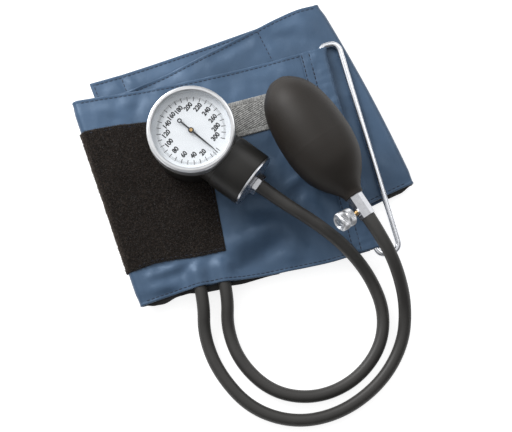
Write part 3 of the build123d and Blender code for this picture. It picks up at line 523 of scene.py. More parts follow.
# creases and hollows: start, end, height, half width
CREASES = {
    "top": (
        ((-79.0, -55.0), (-62.0, -57.2), -1.0, 2.6), ((-80.0, -60.5), (-54.0, -58.6), 0.9, 2.8),
        ((-74.0, -64.5), (-50.0, -62.6), -1.3, 3.8), ((-80.0, -69.0), (-62.0, -70.5), 0.9, 3.0),
        ((-43.0, -72.0), (-41.5, -60.0), -0.8, 3.0), ((-30.0, -70.0), (-8.0, -69.0), -1.7, 4.6),
        ((-26.0, -56.0), (-10.0, -51.0), 1.8, 6.5), ((-14.0, -52.0), (10.0, -47.0), 2.3, 6.5),
        ((-6.0, -36.0), (14.0, -40.0), -1.3, 4.5), ((-18.0, -30.0), (-6.0, -24.0), 1.0, 5.0),
        ((10.0, -61.0), (-13.0, -65.5), -2.3, 5.5), ((13.0, -70.0), (16.0, -60.0), 0.6, 6.0),
        ((17.5, -50.0), (29.0, -70.0), -0.9, 6.0), ((25.0, -46.0), (36.0, -60.0), 0.6, 5.0),
        ((30.0, -24.0), (18.0, -28.0), 1.6, 3.0), ((31.0, -32.0), (16.0, -38.0), -1.3, 3.8),
        ((38.0, -44.0), (44.0, -58.0), -0.9, 4.0), ((-57.3, 51.0), (-61.0, 43.0), -0.9, 3.5),
        ((-20.0, 48.0), (12.0, 43.0), -0.8, 6.0), ((-84.0, 52.0), (-70.0, 47.0), 0.8, 5.0),
        ((12.0, 4.0), (24.0, -6.0), -0.9, 6.0), ((34.0, 48.0), (44.0, 36.0), 0.7, 5.0),
    ),
    "middle": (
        ((-60.0, 59.0), (-46.0, 64.0), 0.9, 1.6), ((-44.0, 61.0), (-30.0, 64.5), -0.8, 3.0),
        ((31.0, 71.0), (52.0, 66.5), -1.3, 5.0), ((-4.0, 66.5), (23.0, 73.5), -1.0, 3.2),
        ((50.0, 79.0), (74.0, 63.0), 0.9, 8.0), ((82.0, -10.0), (74.0, 12.0), -0.7, 6.0),
        ((84.0, -36.0), (76.0, -20.0), 0.7, 6.0),
    ),
    "bottom": (
        ((-66.0, 70.0), (-63.0, 62.0), -0.5, 1.8), ((-60.0, 69.0), (-57.0, 64.0), 0.6, 2.2),
        ((-76.0, 69.0), (-78.0, 63.0), -0.3, 3.0),
    ),
}
# stitched seams across a panel, by the share along it
SEAMS = {"top": (), "middle": (0.757,), "bottom": (0.865,)}


def crease_relief(panel, x, y):
    total = np.zeros(np.broadcast(x, y).shape)
    for start, end, height, width in CREASES[panel]:
        start = np.asarray(start)
        along = np.asarray(end) - start
        share = ((x - start[0]) * along[0] + (y - start[1]) * along[1]) / (along @ along)
        held = np.clip(share, 0.0, 1.0)
        off = np.hypot(x - start[0] - held * along[0], y - start[1] - held * along[1])
        total = total + height * bell(off / width) * (0.55 + 0.45 * np.sin(math.pi * held))
    return total


def port_hump(x, y, width, first_y, full_y):
    """Share, 0 to 1, of the cloth's bulge over and under the hoses' ends."""
    near = sum(bell((x - port) / width) for port in PORTS)
    return np.minimum(near, 1.0) * ease((first_y - y) / (first_y - full_y))


def relief(panel, x, y, share):
    """Height of a panel's own waves above its flat level."""
    settle = ease(share / 0.06) * ease((1 - share) / 0.06)
    if panel == "top":
        loose = 0.42 * waves(x, y, 46, 3) + 0.24 * waves(x, y, 19, 8) + 0.07 * waves(x, y, 8, 21)
        droop = -3.3 * ease((-48 - y) / 29) * ease((x + 26) / 20) * ease((50 - x) / 14)
        droop = droop - 1.5 * ease((-62 - y) / 13) * bell((x + 67) / 7)
        swell = 0.6 * bell((x + 41) / 19) * ease((-52 - y) / 14)
        settle = ease((share - 0.07) / 0.06) * ease((1 - share) / 0.07)
        return (loose + crease_relief(panel, x, y)) * settle + droop + swell
    if panel == "middle":
        loose = 0.30 * waves(x, y, 50, 5) + 0.2 * waves(x, y, 20, 11) + 0.07 * waves(x, y, 8, 22)
        under = -1.3 * port_hump(x, y, 9.0, -52.0, -66.0)
        return (loose + crease_relief(panel, x, y)) * settle + under
    loose = 0.16 * waves(x, y, 40, 7) + 0.05 * waves(x, y, 17, 13)
    return (loose + crease_relief(panel, x, y)) * settle + 0.45


def hem_profile(edge):
    """Half the gap between shell and lining, and the cloth's thickness, at a distance in from an edge."""
    gap = 0.07 + (HALF_FILL - 0.07) * ease((edge - HEM_STITCH) / 8.0)
    gap = gap - 0.12 * bell((edge - HEM_STITCH) / 0.55) + 0.12 * bell((edge - 1.0) / 0.7)
    nose = np.clip(edge / 0.5, 0.0, 1.0)
    thickness = CLOTH_T * np.sqrt(np.clip(1 - (1 - nose) ** 2, 0.0025, 1.0))
    return np.maximum(gap, 0.03), thickness


def cloth(panel, share, across, side, lift=0.0, inner=False):
    """A point on the folded cloth, lift off its surface; side is 1 for the shell and -1 for the lining."""
    share, across = np.broadcast_arrays(np.asarray(share, float), np.asarray(across, float))
    outward = 0.0
    if panel in FOLDS:
        upper, lower, height, outward, facing = FOLDS[panel]
        upper, lower = np.asarray(upper), np.asarray(lower)
    else:
        upper, lower = (on_edge(line, share) for line in EDGE_LINES[panel])
        height, facing = LEVELS[panel]
    width = np.linalg.norm(upper - lower, axis=-1)
    flat = lower + (upper - lower) * across[..., None]
    if panel in ("middle", "bottom", "right_fold"):
        # the right fold bows out a little between its ends
        near_right = {"middle": share, "bottom": 1 - share, "right_fold": np.ones_like(share)}[panel]
        flat[..., 0] += 2.0 * np.sin(math.pi * across) * ease((near_right - 0.6) / 0.4)
    edge = np.minimum(across, 1 - across) * width
    if panel == "bottom":
        edge = np.minimum(edge, (1 - share) * FREE_REACH)
    gap, thickness = hem_profile(edge)
    for seam in SEAMS.get(panel, ()):
        gap = gap - 0.6 * gap * bell((share - seam) * FREE_REACH / 1.6)
    if outward:
        gap = gap * (1 - 0.15 * np.cos((share - 0.5) * math.pi))
    x, y = flat[..., 0], flat[..., 1]
    bulge = np.zeros_like(x)
    if panel == "top":
        swell = relief(panel, x, y, share)
        if side > 0:
            bulge = (PORT_Z + HOSE_R + 0.1 - TOP_Z - swell) * port_hump(x, y, 6.6, -55.0, -66.0)
        else:
            bulge = (TOP_Z + swell - PORT_Z + HOSE_R + 0.1) * port_hump(x, y, 6.2, -57.0, -65.0)
        bulge = np.maximum(bulge - gap, 0.0)
    off = gap + bulge + (0.0 if inner else thickness) + lift
    if outward:
        turn = math.pi / 2 - share * math.pi
        out = np.cross(unit(np.append(upper - lower, 0.0)), (0.0, 0.0, 1.0)) * outward
        if out[0] * outward < 0:
            out = -out
        radial = out * np.cos(turn)[..., None] + np.array((0.0, 0.0, 1.0)) * np.sin(turn)[..., None]
        radius = FOLD_R + facing * side * off
        centre = np.stack([x, y, np.full_like(x, height)], axis=-1)
        return centre + radial * radius[..., None]
    z = height + relief(panel, x, y, share) + facing * side * off
    return np.stack([x, y, z], axis=-1)


PATH = (("top", 100), ("left_fold", 12), ("middle", 106), ("right_fold", 12), ("bottom", 100))


def path_stations():
    """The cloth's stations from the bar end to the free end: panel, share along it and length so far."""
    made = []
    so_far = 0.0
    for panel, count in PATH:
        shares = np.linspace(0.0, 1.0, count)
        if panel == "bottom":
            shares = np.concatenate([shares[:-2], 1 - np.array([1.0, 0.45, 0.15, 0.0]) / FREE_REACH])
        if made:
            shares = shares[1:]
        for share in shares:
            made.append((panel, float(share), so_far + share * LENGTHS[panel]))
        so_far += LENGTHS[panel]
    return made


STATIONS = path_stations()
edge_rows = np.array([0.0, 0.12, 0.35, 0.7, 1.1, 1.5, 1.9, 2.3, 2.8, 3.6, 4.8, 6.2]) / WIDTH
ROWS = np.concatenate([edge_rows, np.linspace(7.8 / WIDTH, 1 - 7.8 / WIDTH, 74), 1 - edge_rows[::-1]])


def folded_cloth(name, side, material, node_name):
    """The shell or the lining as one closed sheet round both folds."""
    faces_of = []
    for inner in (False, True):
        columns = [cloth(panel, share, ROWS, side, inner=inner) for panel, share, _ in STATIONS]
        faces_of.append(np.array(columns))
    obj = add_piece(name, closed_sheet(*faces_of), material, (node_name,))
    weave = obj.data.uv_layers.new(name="weave")
    along = np.array([station[2] for station in STATIONS])
    uv = np.stack(np.meshgrid(along, ROWS * WIDTH, indexing="ij"), axis=-1).reshape(-1, 2) * MM
    corner = np.zeros(len(obj.data.loops), int)
    obj.data.loops.foreach_get("vertex_index", corner)
    weave.data.foreach_set("uv", np.tile(uv, (2, 1))[corner].ravel())
    return obj


shell = folded_cloth("cuff_shell_cloth", 1, shell_nylon, "cuff_shell")
lining = folded_cloth("cuff_lining_cloth", -1, lining_nylon, "cuff_lining")

# ---- rubber bladder inside the top panel
BLADDER_HALF = 0.72
BLADDER_SHARES = (0.12, 0.9)
BLADDER_ACROSS = (0.095, 0.93)


def bladder_side(sign):
    """Upper or lower face of the flat bladder, which follows the top panel's waves."""
    columns = []
    for share in np.linspace(*BLADDER_SHARES, 70):
        across = np.linspace(*BLADDER_ACROSS, 60)
        middle = (cloth("top", share, across, 1) + cloth("top", share, across, -1)) / 2
        middle[:, 2] = TOP_Z + relief("top", middle[:, 0], middle[:, 1], share)
        to_side = np.minimum(across - BLADDER_ACROSS[0], BLADDER_ACROSS[1] - across) * WIDTH
        to_end = min(share - BLADDER_SHARES[0], BLADDER_SHARES[1] - share) * LENGTHS["top"]
        rim = np.minimum(to_side, to_end)
        middle[:, 2] += sign * BLADDER_HALF * (0.25 + 0.75 * ease(rim / 3.0))
        columns.append(middle)
    return np.array(columns)


bladder_runs = [closed_sheet(bladder_side(1), bladder_side(-1))]
PORT_TUBE = (
    (0.0, 2.0), (2.5, 2.0), (2.5, 0.0), (4.0, 0.0), (4.0, 2.6), (3.7, 4.0), (3.0, 5.4), (2.0, 7.0),
    (1.0, 8.2), (0.0, 8.6),
)
PORT_START_Y = -69.0
for port in PORTS:
    bladder_runs.append(lathe(PORT_TUBE, (port, PORT_START_Y, PORT_Z), (0, 1, 0), 40, closed=False))
STRIP_T = 0.5


def dark_strip(name, edge, span, reach, level):
    """A thin black strip of painted shade, in the bladder's rubber, that shows just outside a panel's lower
    edge where the gap under it lies in shadow.
    """
    faces_of = []
    for drop in (0.0, STRIP_T):
        columns = []
        for x in np.linspace(*span, 90):
            edge_y = np.interp(x, edge[:, 0], edge[:, 1])
            y = np.linspace(edge_y + 8.0, edge_y - reach(x), 12)
            z = level(x) - 0.5 * ease((edge_y - y) / 3.0) - drop
            columns.append(np.stack([np.full(12, x), y, z], axis=-1))
        faces_of.append(np.array(columns))
    add_piece(name, closed_sheet(*faces_of), bladder_rubber, sharp=60)


def apron_reach(x):
    """How far the painted shade strip shows: most at the corner, then by and past the hoses."""
    corner = 2.0 * ease((x + 85.8) / 7.0) * ease((-64.0 - x) / 12.0)
    by_hoses = 1.5 * ease((x + 80.0) / 10.0) * ease((-30.0 - x) / 10.0)
    return corner + by_hoses + 2.1 * ease((x + 58.0) / 10.0) * ease((-3.0 - x) / 24.0)


def apron_level(x):
    """Height of the strip: it drops under the hoses' ends and with the drooping hem."""
    under_ports = 1.85 * ease((x + 66.0) / 8.0) * ease((-16.0 - x) / 8.0)
    return 9.8 - 3.5 * ease((x + 27.0) / 18.0) - under_ports


def binding_reach(x):
    return 2.2 * ease((x - 72.0) / 10.0) * ease((97.4 - x) / 9.0)


# painted shade: black strips stand in for the shadowed gaps under the top panel's lower edge and under the
# middle panel's right corner
dark_strip("painted_shade_apron", EDGE_LINES["top"][1][::-1], (-84.9, 1.0), apron_reach, apron_level)
dark_strip("painted_shade_corner", EDGE_LINES["middle"][1], (72.0, 97.0), binding_reach, lambda x: 4.9)
add_piece("bladder_rubber_bag", gather(bladder_runs), bladder_rubber, ("bladder",), 60)

# ---- stitches


# (share along a stitch, share of its thickness)
STITCH_SHAPE = ((0.0, 0.25), (0.16, 0.9), (0.5, 1.1), (0.84, 0.9), (1.0, 0.25))


def stitch_run(line, facing=1, length=2.7, pitch=3.05, radius=0.24):
    """Small thread bars along a line of points, on a side that faces up (1) or down (-1)."""
    line = np.asarray(line, float)
    steps = np.linalg.norm(np.diff(line, axis=0), axis=1)
    far = np.concatenate([[0.0], np.cumsum(steps)])
    up = np.array((0.0, 0.0, facing))
    points = []
    faces = []
    place = 0.6

    def at(distance):
        return np.array([np.interp(distance, far, line[:, axis]) for axis in range(3)])

    while place + length < far[-1]:
        start, end = at(place), at(place + length)
        side = np.cross(unit(end - start), up)
        base = len(points)
        for share, size in STITCH_SHAPE:
            centre = start + (end - start) * share - up * radius * (1.1 - size)
            points += ring(centre, side, up, radius * size, 6)
        last = base + 6 * (len(STITCH_SHAPE) - 1)
        for first in range(base, last, 6):
            faces += ring_faces(first, first + 6, 6)
        faces.append(tuple(range(base, base + 6))[::-1])
        faces.append(tuple(range(last, last + 6)))
        place += pitch
    return points, faces


def cloth_line(panel, shares, acrosses, side):
    return cloth(panel, shares, acrosses, side, 0.06), -side if panel == "middle" else side


runs = []
long_way = np.linspace(0.0, 1.0, 160)
hem_share = HEM_STITCH / WIDTH
for panel, side in (("top", 1), ("middle", -1), ("bottom", 1), ("bottom", -1)):
    for across in (hem_share, 1 - hem_share):
        runs.append(stitch_run(*cloth_line(panel, long_way, np.full(160, across), side)))
short_way = np.linspace(0.012, 0.988, 120)
for panel, side, share in (
    ("middle", -1, 0.757),
    ("bottom", 1, 0.865),
    ("bottom", -1, 0.865),
    ("bottom", 1, 1 - END_STITCH / FREE_REACH),
    ("bottom", -1, 1 - END_STITCH / FREE_REACH),
):
    runs.append(stitch_run(*cloth_line(panel, np.full(120, share), short_way, side), radius=0.28))
hem_stitches = add_piece("hem_stitches", gather(runs), thread, sharp=50)

# ---- loop patch round the left fold


def share_of(panel, x, y):
    """The (share, across) of a plan point on a panel."""
    share, across = 0.5, 0.5
    for _ in range(30):
        here = cloth(panel, share, across, 1)[..., :2].reshape(2)
        step = 1e-4
        d_share = (cloth(panel, share + step, across, 1)[..., :2].reshape(2) - here) / step
        d_across = (cloth(panel, share, across + step, 1)[..., :2].reshape(2) - here) / step
        change = np.linalg.solve(np.stack([d_share, d_across], axis=1), np.array((x, y)) - here)
        share, across = share + change[0], across + change[1]
    return share, across


PATCH_TOP_EDGE = ((-21.1, 25.6), (-38.0, 30.6), (-55.9, 35.2), (-74.5, 38.4), (-90.0, 39.6))
PATCH_LOW_EDGE = (
    (-27.9, -57.2), (-38.0, -56.9), (-48.2, -55.8), (-61.0, -54.0), (-73.2, -53.2), (-84.0, -54.6),
)
PATCH_T = 1.0
top_shares = np.array([share_of("top", *point) for point in PATCH_TOP_EDGE])
low_shares = np.array([share_of("top", *point) for point in PATCH_LOW_EDGE])
PATCH_WIDTH = 92.0
PATCH_TUCK_SHARE = 30.0 / LENGTHS["middle"]


def patch_grid(rows, columns_top):
    """Stations of the patch: panel, shares and acrosses for each column."""
    made = []
    b = np.linspace(0.0, 1.0, rows)
    for a in np.linspace(0.0, 1.0, columns_top):
        right = low_shares[0, 0] + (top_shares[0, 0] - low_shares[0, 0]) * b
        share = right + (1.0 - right) * a
        mean = share.mean()
        high = np.interp(mean, top_shares[:, 0], top_shares[:, 1])
        low = np.interp(mean, low_shares[:, 0], low_shares[:, 1])
        made.append(("top", share, low + (high - low) * b))
    at_fold = np.linspace(made[-1][2][0], made[-1][2][-1], rows)
    for share in np.linspace(0.0, 1.0, 14)[1:-1]:
        made.append(("left_fold", np.full(rows, share), at_fold))
    for share in np.linspace(0.0, PATCH_TUCK_SHARE, 16):
        made.append(("middle", np.full(rows, share), at_fold))
    return made


PATCH_ROWS = 100
grid = patch_grid(PATCH_ROWS, 76)
patch_outer = []
patch_inner = []
for index, (panel, shares, acrosses) in enumerate(grid):
    b = np.linspace(0.0, 1.0, PATCH_ROWS)
    border = np.minimum(np.minimum(b, 1 - b) * PATCH_WIDTH, index * 0.9)
    roll = PATCH_T * (0.35 + 0.65 * np.sqrt(np.clip(1 - (1 - np.clip(border / 1.4, 0, 1)) ** 2, 0, 1)))
    plan = cloth(panel, shares, acrosses, 1)
    shag = 0.16 * waves(plan[..., 0] + 3 * plan[..., 2], plan[..., 1], 2.4, 31, 14)
    shag = shag + 0.10 * waves(plan[..., 0] - 2 * plan[..., 2], plan[..., 1], 5.0, 32)
    patch_outer.append(cloth(panel, shares, acrosses, 1, lift=roll + shag * np.clip(border / 1.0, 0.2, 1)))
    patch_inner.append(cloth(panel, shares, acrosses, 1, lift=0.02))
patch_shape = closed_sheet(np.array(patch_outer), np.array(patch_inner))
patch = add_piece("loop_patch_pile", patch_shape, pile, ("loop_patch",))


def pile_fibres(count, seed):
    """Short bent fibres standing in the pile, so that the patch has a soft outline."""
    source = np.random.default_rng(seed)
    outer = np.array(patch_outer)
    columns, rows = outer.shape[:2]
    around = np.diff(outer, axis=0)[:, :-1]
    across = np.diff(outer, axis=1)[:-1]
    normal = np.cross(across, around)
    normal /= np.linalg.norm(normal, axis=-1, keepdims=True) + 1e-9
    middle = outer[40, 50]
    if np.cross(outer[40, 51] - middle, outer[41, 50] - middle)[2] < 0:
        normal = -normal
    points = []
    faces = []
    for _ in range(count):
        on_border = source.uniform() < 0.12
        column = int(source.integers(0, columns - 1))
        row = int(source.choice((0, rows - 2)) if on_border else source.integers(0, rows - 1))
        share_a, share_b = source.uniform(size=2)
        foot = (
            outer[column, row] * (1 - share_a) * (1 - share_b)
            + outer[column + 1, row] * share_a * (1 - share_b)
            + outer[column, row + 1] * (1 - share_a) * share_b
            + outer[column + 1, row + 1] * share_a * share_b
        )
        up = normal[column, row]
        lean = source.normal(size=3) * 0.75
        lean -= up * (lean @ up)
        height = source.uniform(0.35, 0.85)
        side = unit(np.cross(up, lean + 1e-3))
        other = np.cross(side, up)
        base = len(points)
        for share, size, bend in ((-0.3, 0.13, 0.0), (0.45, 0.10, 0.35), (0.85, 0.06, 1.0)):
            points += ring(foot + up * height * share + lean * height * bend, side, other, size, 3)
        points.append(foot + up * height * 0.72 + lean * height * 1.6)
        faces += ring_faces(base, base + 3, 3) + ring_faces(base + 3, base + 6, 3)
        for step in range(3):
            faces.append((base + 6 + step, base + 6 + (step + 1) % 3, base + 9))
        faces.append((base + 2, base + 1, base))
    return points, faces


FIBRE_COUNT, FIBRE_SEED = 9000, 5
fibre_shape = pile_fibres(FIBRE_COUNT, FIBRE_SEED)
fibres = add_piece("loop_patch_fibres", fibre_shape, fibre)

patch_runs = []
for row_share in (0.016, 0.984):
    line = []
    for panel, shares, acrosses in grid[2:76]:
        row = int(round(row_share * (PATCH_ROWS - 1)))
        line.append(cloth(panel, shares[row], acrosses[row], 1, lift=PATCH_T - 0.1).reshape(3))
    patch_runs.append(stitch_run(line, radius=0.16))
patch_runs.append(stitch_run(cloth(*grid[2], 1, lift=PATCH_T - 0.1), radius=0.16))
patch_stitches = add_piece("patch_stitches", gather(patch_runs), thread, sharp=50)

# ---- hook patch on the bottom panel
HOOK_FIRST, HOOK_LAST = 0.79, 0.965
hook_shares = np.linspace(HOOK_LAST, HOOK_FIRST, 24)
HOOK_ACROSS = (0.13, 0.87)
hook_rows = np.linspace(*HOOK_ACROSS, 60)


def hook_sheet(lift):
    return np.array([cloth("bottom", share, hook_rows, 1, lift=lift) for share in hook_shares])


hook_points, hook_faces = closed_sheet(hook_sheet(0.32), hook_sheet(0.02))
hook_runs = [(list(hook_points), hook_faces)]
for share in np.linspace(HOOK_LAST - 0.006, HOOK_FIRST + 0.006, 19):
    feet = cloth("bottom", share, np.linspace(HOOK_ACROSS[0] + 0.01, HOOK_ACROSS[1] - 0.01, 62), 1, lift=0.3)
    for foot in feet:
        stalk = []
        for radius, height in ((0.2, -0.05), (0.15, 0.28), (0.34, 0.34), (0.3, 0.5)):
            stalk += ring(foot + np.array((0.0, 0.0, height)), *np.eye(3)[:2], radius, 5)
        sides = [face for first in (0, 5, 10) for face in ring_faces(first, first + 5, 5)]
        hook_runs.append((stalk, sides + [(4, 3, 2, 1, 0), (15, 16, 17, 18, 19)]))
hooks = add_piece("hook_patch_tape", gather(hook_runs), hook_plastic, ("hook_patch",), 40)

# ---- ribbed strap under the gauge
strap_low, strap_high = mm_box("gauge_strap")
SELVEDGE_WIDTH = 3.4


def surface_height(x, y):
    share, across = share_of("top", x, y)
    return float(cloth("top", share, across, 1)[..., 2].reshape(-1)[0])


strap_x = np.linspace(strap_low[0], strap_high[0], 181)
strap_y = np.linspace(strap_low[1], strap_high[1], 93)
coarse_x = np.linspace(strap_low[0], strap_high[0], 10)
coarse_y = np.linspace(strap_low[1], strap_high[1], 6)
coarse = np.array([[surface_height(x, y) for y in coarse_y] for x in coarse_x])
ground = np.array([np.interp(strap_y, coarse_y, row) for row in coarse])
ground = np.array([np.interp(strap_x, coarse_x, ground[:, index]) for index in range(len(strap_y))]).T
grid_x, grid_y = np.meshgrid(strap_x, strap_y, indexing="ij")
selvedge = np.minimum(grid_y - strap_low[1], strap_high[1] - grid_y)
diagonal = (grid_y - strap_low[1]) - (grid_x - strap_low[0]) * 0.32
slanted, straight = diagonal / 1.25, grid_x / 1.15
ribs = np.abs(np.sin(math.pi * np.where(selvedge > SELVEDGE_WIDTH, slanted, straight)))
rib_share = 0.5 * ease(np.abs(selvedge - SELVEDGE_WIDTH) / 0.4)
round_off = np.sqrt(np.clip(1 - (1 - np.clip(selvedge / 0.7, 0, 1)) ** 2, 0.04, 1))
strap_top = ground + 0.05 + (0.6 + rib_share * ribs) * round_off
strap_outer = np.stack([grid_x, grid_y, strap_top], axis=-1)
strap_inner = np.stack([grid_x, grid_y, ground + 0.03], axis=-1)
strap_shape = closed_sheet(strap_outer, strap_inner)
strap = add_piece("gauge_strap_webbing", strap_shape, webbing, ("gauge_strap",), 60)

# ---- sewn sleeve round the metal bar
BAR_X, BAR_Z = 63.0, 12.4
SLEEVE_HALF = 2.05
SLEEVE_T = 0.62
SEAM_TOP, SEAM_BOTTOM = 50.2, 48.3
SEAM_UPPER_Z, SEAM_UNDER_Z = 14.06, 10.72
SEAM_GAP = 5.4
SLEEVE_TOP_Y, SLEEVE_BOTTOM_Y = 53.7, -79.6


def seam_x(y):
    return SEAM_TOP + (SEAM_BOTTOM - SEAM_TOP) * (SLEEVE_TOP_Y - y) / (SLEEVE_TOP_Y - SLEEVE_BOTTOM_Y)


def sleeve_rise(x):
    """Height of the sleeve's upper layer, from the seam up over the bar."""
    return SEAM_UPPER_Z + (BAR_Z + SLEEVE_HALF - SEAM_UPPER_Z) * ease((x - 56.0) / 5.0)


def sleeve_profile(offset, first_x, last_x, slack):
    """Section of the sleeve, from its top edge round the bar to its bottom edge, at an offset outward."""
    made = []
    for x in np.linspace(first_x, BAR_X, 26):
        made.append((x, sleeve_rise(x) + offset))
    for turn in np.linspace(82, -82, 23):
        angle = math.radians(turn)
        reach = SLEEVE_HALF + offset
        made.append((BAR_X + (reach + slack) * math.cos(angle), BAR_Z + reach * math.sin(angle)))
    for x in np.linspace(BAR_X, last_x, 18):
        fall = BAR_Z - SLEEVE_HALF + (SEAM_UNDER_Z - BAR_Z + SLEEVE_HALF) * ease((61.0 - x) / 5.0)
        made.append((x, float(fall) - offset))
    return np.array(made)


end_rows = np.array([0.0, 0.2, 0.6, 1.2, 2.0, 3.0])
middle_rows = np.linspace(SLEEVE_TOP_Y - 4.2, SLEEVE_BOTTOM_Y + 4.2, 90)
sleeve_y = np.concatenate([SLEEVE_TOP_Y - end_rows, middle_rows, SLEEVE_BOTTOM_Y + end_rows[::-1]])
sleeve_outer = []
sleeve_inner = []
for y in sleeve_y:
    seam = seam_x(y)
    end = min(SLEEVE_TOP_Y - y, y - SLEEVE_BOTTOM_Y)
    nose = math.sqrt(max(0.02, 1 - (1 - min(end / 0.7, 1.0)) ** 2))
    slack = 0.15 + 0.8 * ease((y + 60) / 110) + 1.3 * ease((y - 47.0) / 6.7)
    slack = slack + 1.1 * ease((-76.0 - y) / 3.6)
    outer = sleeve_profile(SLEEVE_T * nose, seam - 0.6, 47.5, slack)
    inner = sleeve_profile(0.0, seam - 0.4, 47.7, slack)
    x, z = outer[:, 0], outer[:, 1]
    row = np.full_like(x, y)
    puckers = 0.2 * waves(x * 0.5, row, 9.0, 41) + 0.12 * waves(x * 0.6, row, 4.0, 42)
    free = ease((x - seam) / 4.0) * min(end / 3.0, 1.0)
    pinch = -0.2 * bell((x - seam - 0.5) / 0.6) - 0.2 * bell((x - seam - SEAM_GAP) / 0.6)
    outward = np.where(z > BAR_Z, 1.0, -1.0) * (np.maximum(puckers, -0.12) * free + pinch)
    sleeve_outer.append(np.stack([x, row, z + outward], axis=-1))
    sleeve_inner.append(np.stack([inner[:, 0], row, inner[:, 1] + outward * 0.5], axis=-1))
sleeve_shape = closed_sheet(np.array(sleeve_outer), np.array(sleeve_inner))
sleeve = add_piece("bar_sleeve_cloth", sleeve_shape, shell_nylon, ("bar_sleeve",))
sleeve_uv = sleeve.data.uv_layers.new(name="weave")
for loop in sleeve.data.loops:
    place = sleeve.data.vertices[loop.vertex_index].co
    sleeve_uv.data[loop.index].uv = (place.x + place.z, place.y)

sleeve_runs = []
for shift in (0.5, SEAM_GAP):
    y = np.linspace(SLEEVE_TOP_Y - 0.8, SLEEVE_BOTTOM_Y + 0.8, 90)
    x = seam_x(y) + shift
    line = np.stack([x, y, sleeve_rise(x) + SLEEVE_T - 0.12], axis=-1)
    sleeve_runs.append(stitch_run(line, length=2.75, radius=0.3))
sleeve_stitches = add_piece("sleeve_stitches", gather(sleeve_runs), thread, sharp=50)

# ---- the bar's wire
BAR_Y, BAR_SPAN, BAR_LENGTH, BAR_CORNER_R, WIRE_R = -14.6, 14.8, 139.6, 5.5, 1.9
BAR_DROP = 1.8
BAR_LEAN = 2.2
bar_line = []
corners = ((0.0, 1), (BAR_SPAN, 1), (BAR_SPAN, -1), (0.0, -1))
for index, (across, end) in enumerate(corners):
    centre_u = BAR_CORNER_R if across == 0.0 else BAR_SPAN - BAR_CORNER_R
    centre_v = end * (BAR_LENGTH / 2 - BAR_CORNER_R)
    for turn in np.linspace(math.pi - index * math.pi / 2, math.pi / 2 - index * math.pi / 2, 10):
        bar_line.append((centre_u + BAR_CORNER_R * math.cos(turn), centre_v + BAR_CORNER_R * math.sin(turn)))
    if across == corners[(index + 1) % 4][0]:
        for share in np.linspace(0.05, 0.95, 24):
            bar_line.append((across, centre_v - end * 2 * abs(centre_v) * share))
bar_curve = bpy.data.curves.new("d_bar_wire", "CURVE")
bar_curve.dimensions = "3D"
bar_curve.bevel_depth = WIRE_R * MM
bar_curve.bevel_resolution = 8
bar_spline = bar_curve.splines.new("POLY")
bar_spline.points.add(len(bar_line) - 1)
bar_spline.use_cyclic_u = True
for point, (across, along) in zip(bar_spline.points, bar_line):
    lean = BAR_LEAN * (across / BAR_SPAN) * (along / BAR_LENGTH + 0.5)
    place = (BAR_X + across - lean, BAR_Y + along, BAR_Z - BAR_DROP * across / BAR_SPAN)
    point.co = (*(value * MM for value in place), 1.0)
bar_wire = bpy.data.objects.new("d_bar_wire", bar_curve)
finish_piece(bar_wire, chrome, "bar", ("d_bar",))

# ---- rubber bulb
BULB_ANGLE = math.radians(-71.8)
ALONG = np.array((math.cos(BULB_ANGLE), math.sin(BULB_ANGLE), 0.0))
BULB_LENGTH = 85.0
bulb_tip = np.array((56.2, -48.2, 37.0)) - ALONG * BULB_LENGTH
BULB_BORE_R = 3.6
SEAM_AT = 46.0
outside = curve_through(
    ((6.4, -0.9), (9.6, 1.3), (14.6, 6.6), (18.0, 13.0), (20.0, 20.0), (21.6, 30.5), (22.1, 42.0),
     (21.7, 51.0), (19.9, 60.5), (17.3, 67.0), (13.4, 73.2), (9.6, 77.8), (7.3, 81.2), (6.5, 83.4),
     (6.35, 84.5)),
    10,
)
outside[:, 0] += 0.16 * bell((outside[:, 1] - SEAM_AT) / 0.28)
bulb_profile = [(BULB_BORE_R, 0.05), (4.95, 0.05), (4.95, -0.95), (4.6, -1.1), (4.6, -1.45), (5.3, -1.5)]
bulb_profile += [(5.9, -1.25), *outside]
bulb_profile += [(6.2, 84.85), (5.9, 85.0), (BULB_BORE_R, 85.0)]
bulb_profile += [(BULB_BORE_R, 73.5), (10.2, 70.5), (17.1, 60.0), (19.4, 42.0), (16.9, 20.5), (10.2, 9.8)]
bulb_profile += [(BULB_BORE_R, 7.0)]
bulb_shape = lathe(bulb_profile, bulb_tip, ALONG, 128)
add_piece("bulb_body", bulb_shape, bulb_rubber, ("bulb",), 50)

# ---- collar and nut of the gauge's neck
NECK_ANGLE = math.radians(-51.5)
NECK_DIRECTION = np.array((math.cos(NECK_ANGLE), math.sin(NECK_ANGLE), 0.0))
NECK_ORIGIN = np.array((-30.3, 14.1, 34.6))
collar_profile = ((17.03, 25.6), (17.45, 25.6), (17.75, 26.0), (17.75, 45.5), (17.5, 45.95), (17.03, 45.95))
collar_shape = lathe(collar_profile, NECK_ORIGIN, NECK_DIRECTION, 128)
add_piece("gauge_neck_collar", collar_shape, case_black, sharp=35)

NUT_AF = 12.0
NUT_BORE_R = 4.66
NUT_SIDES = 96
NUT_TURN = 0.2
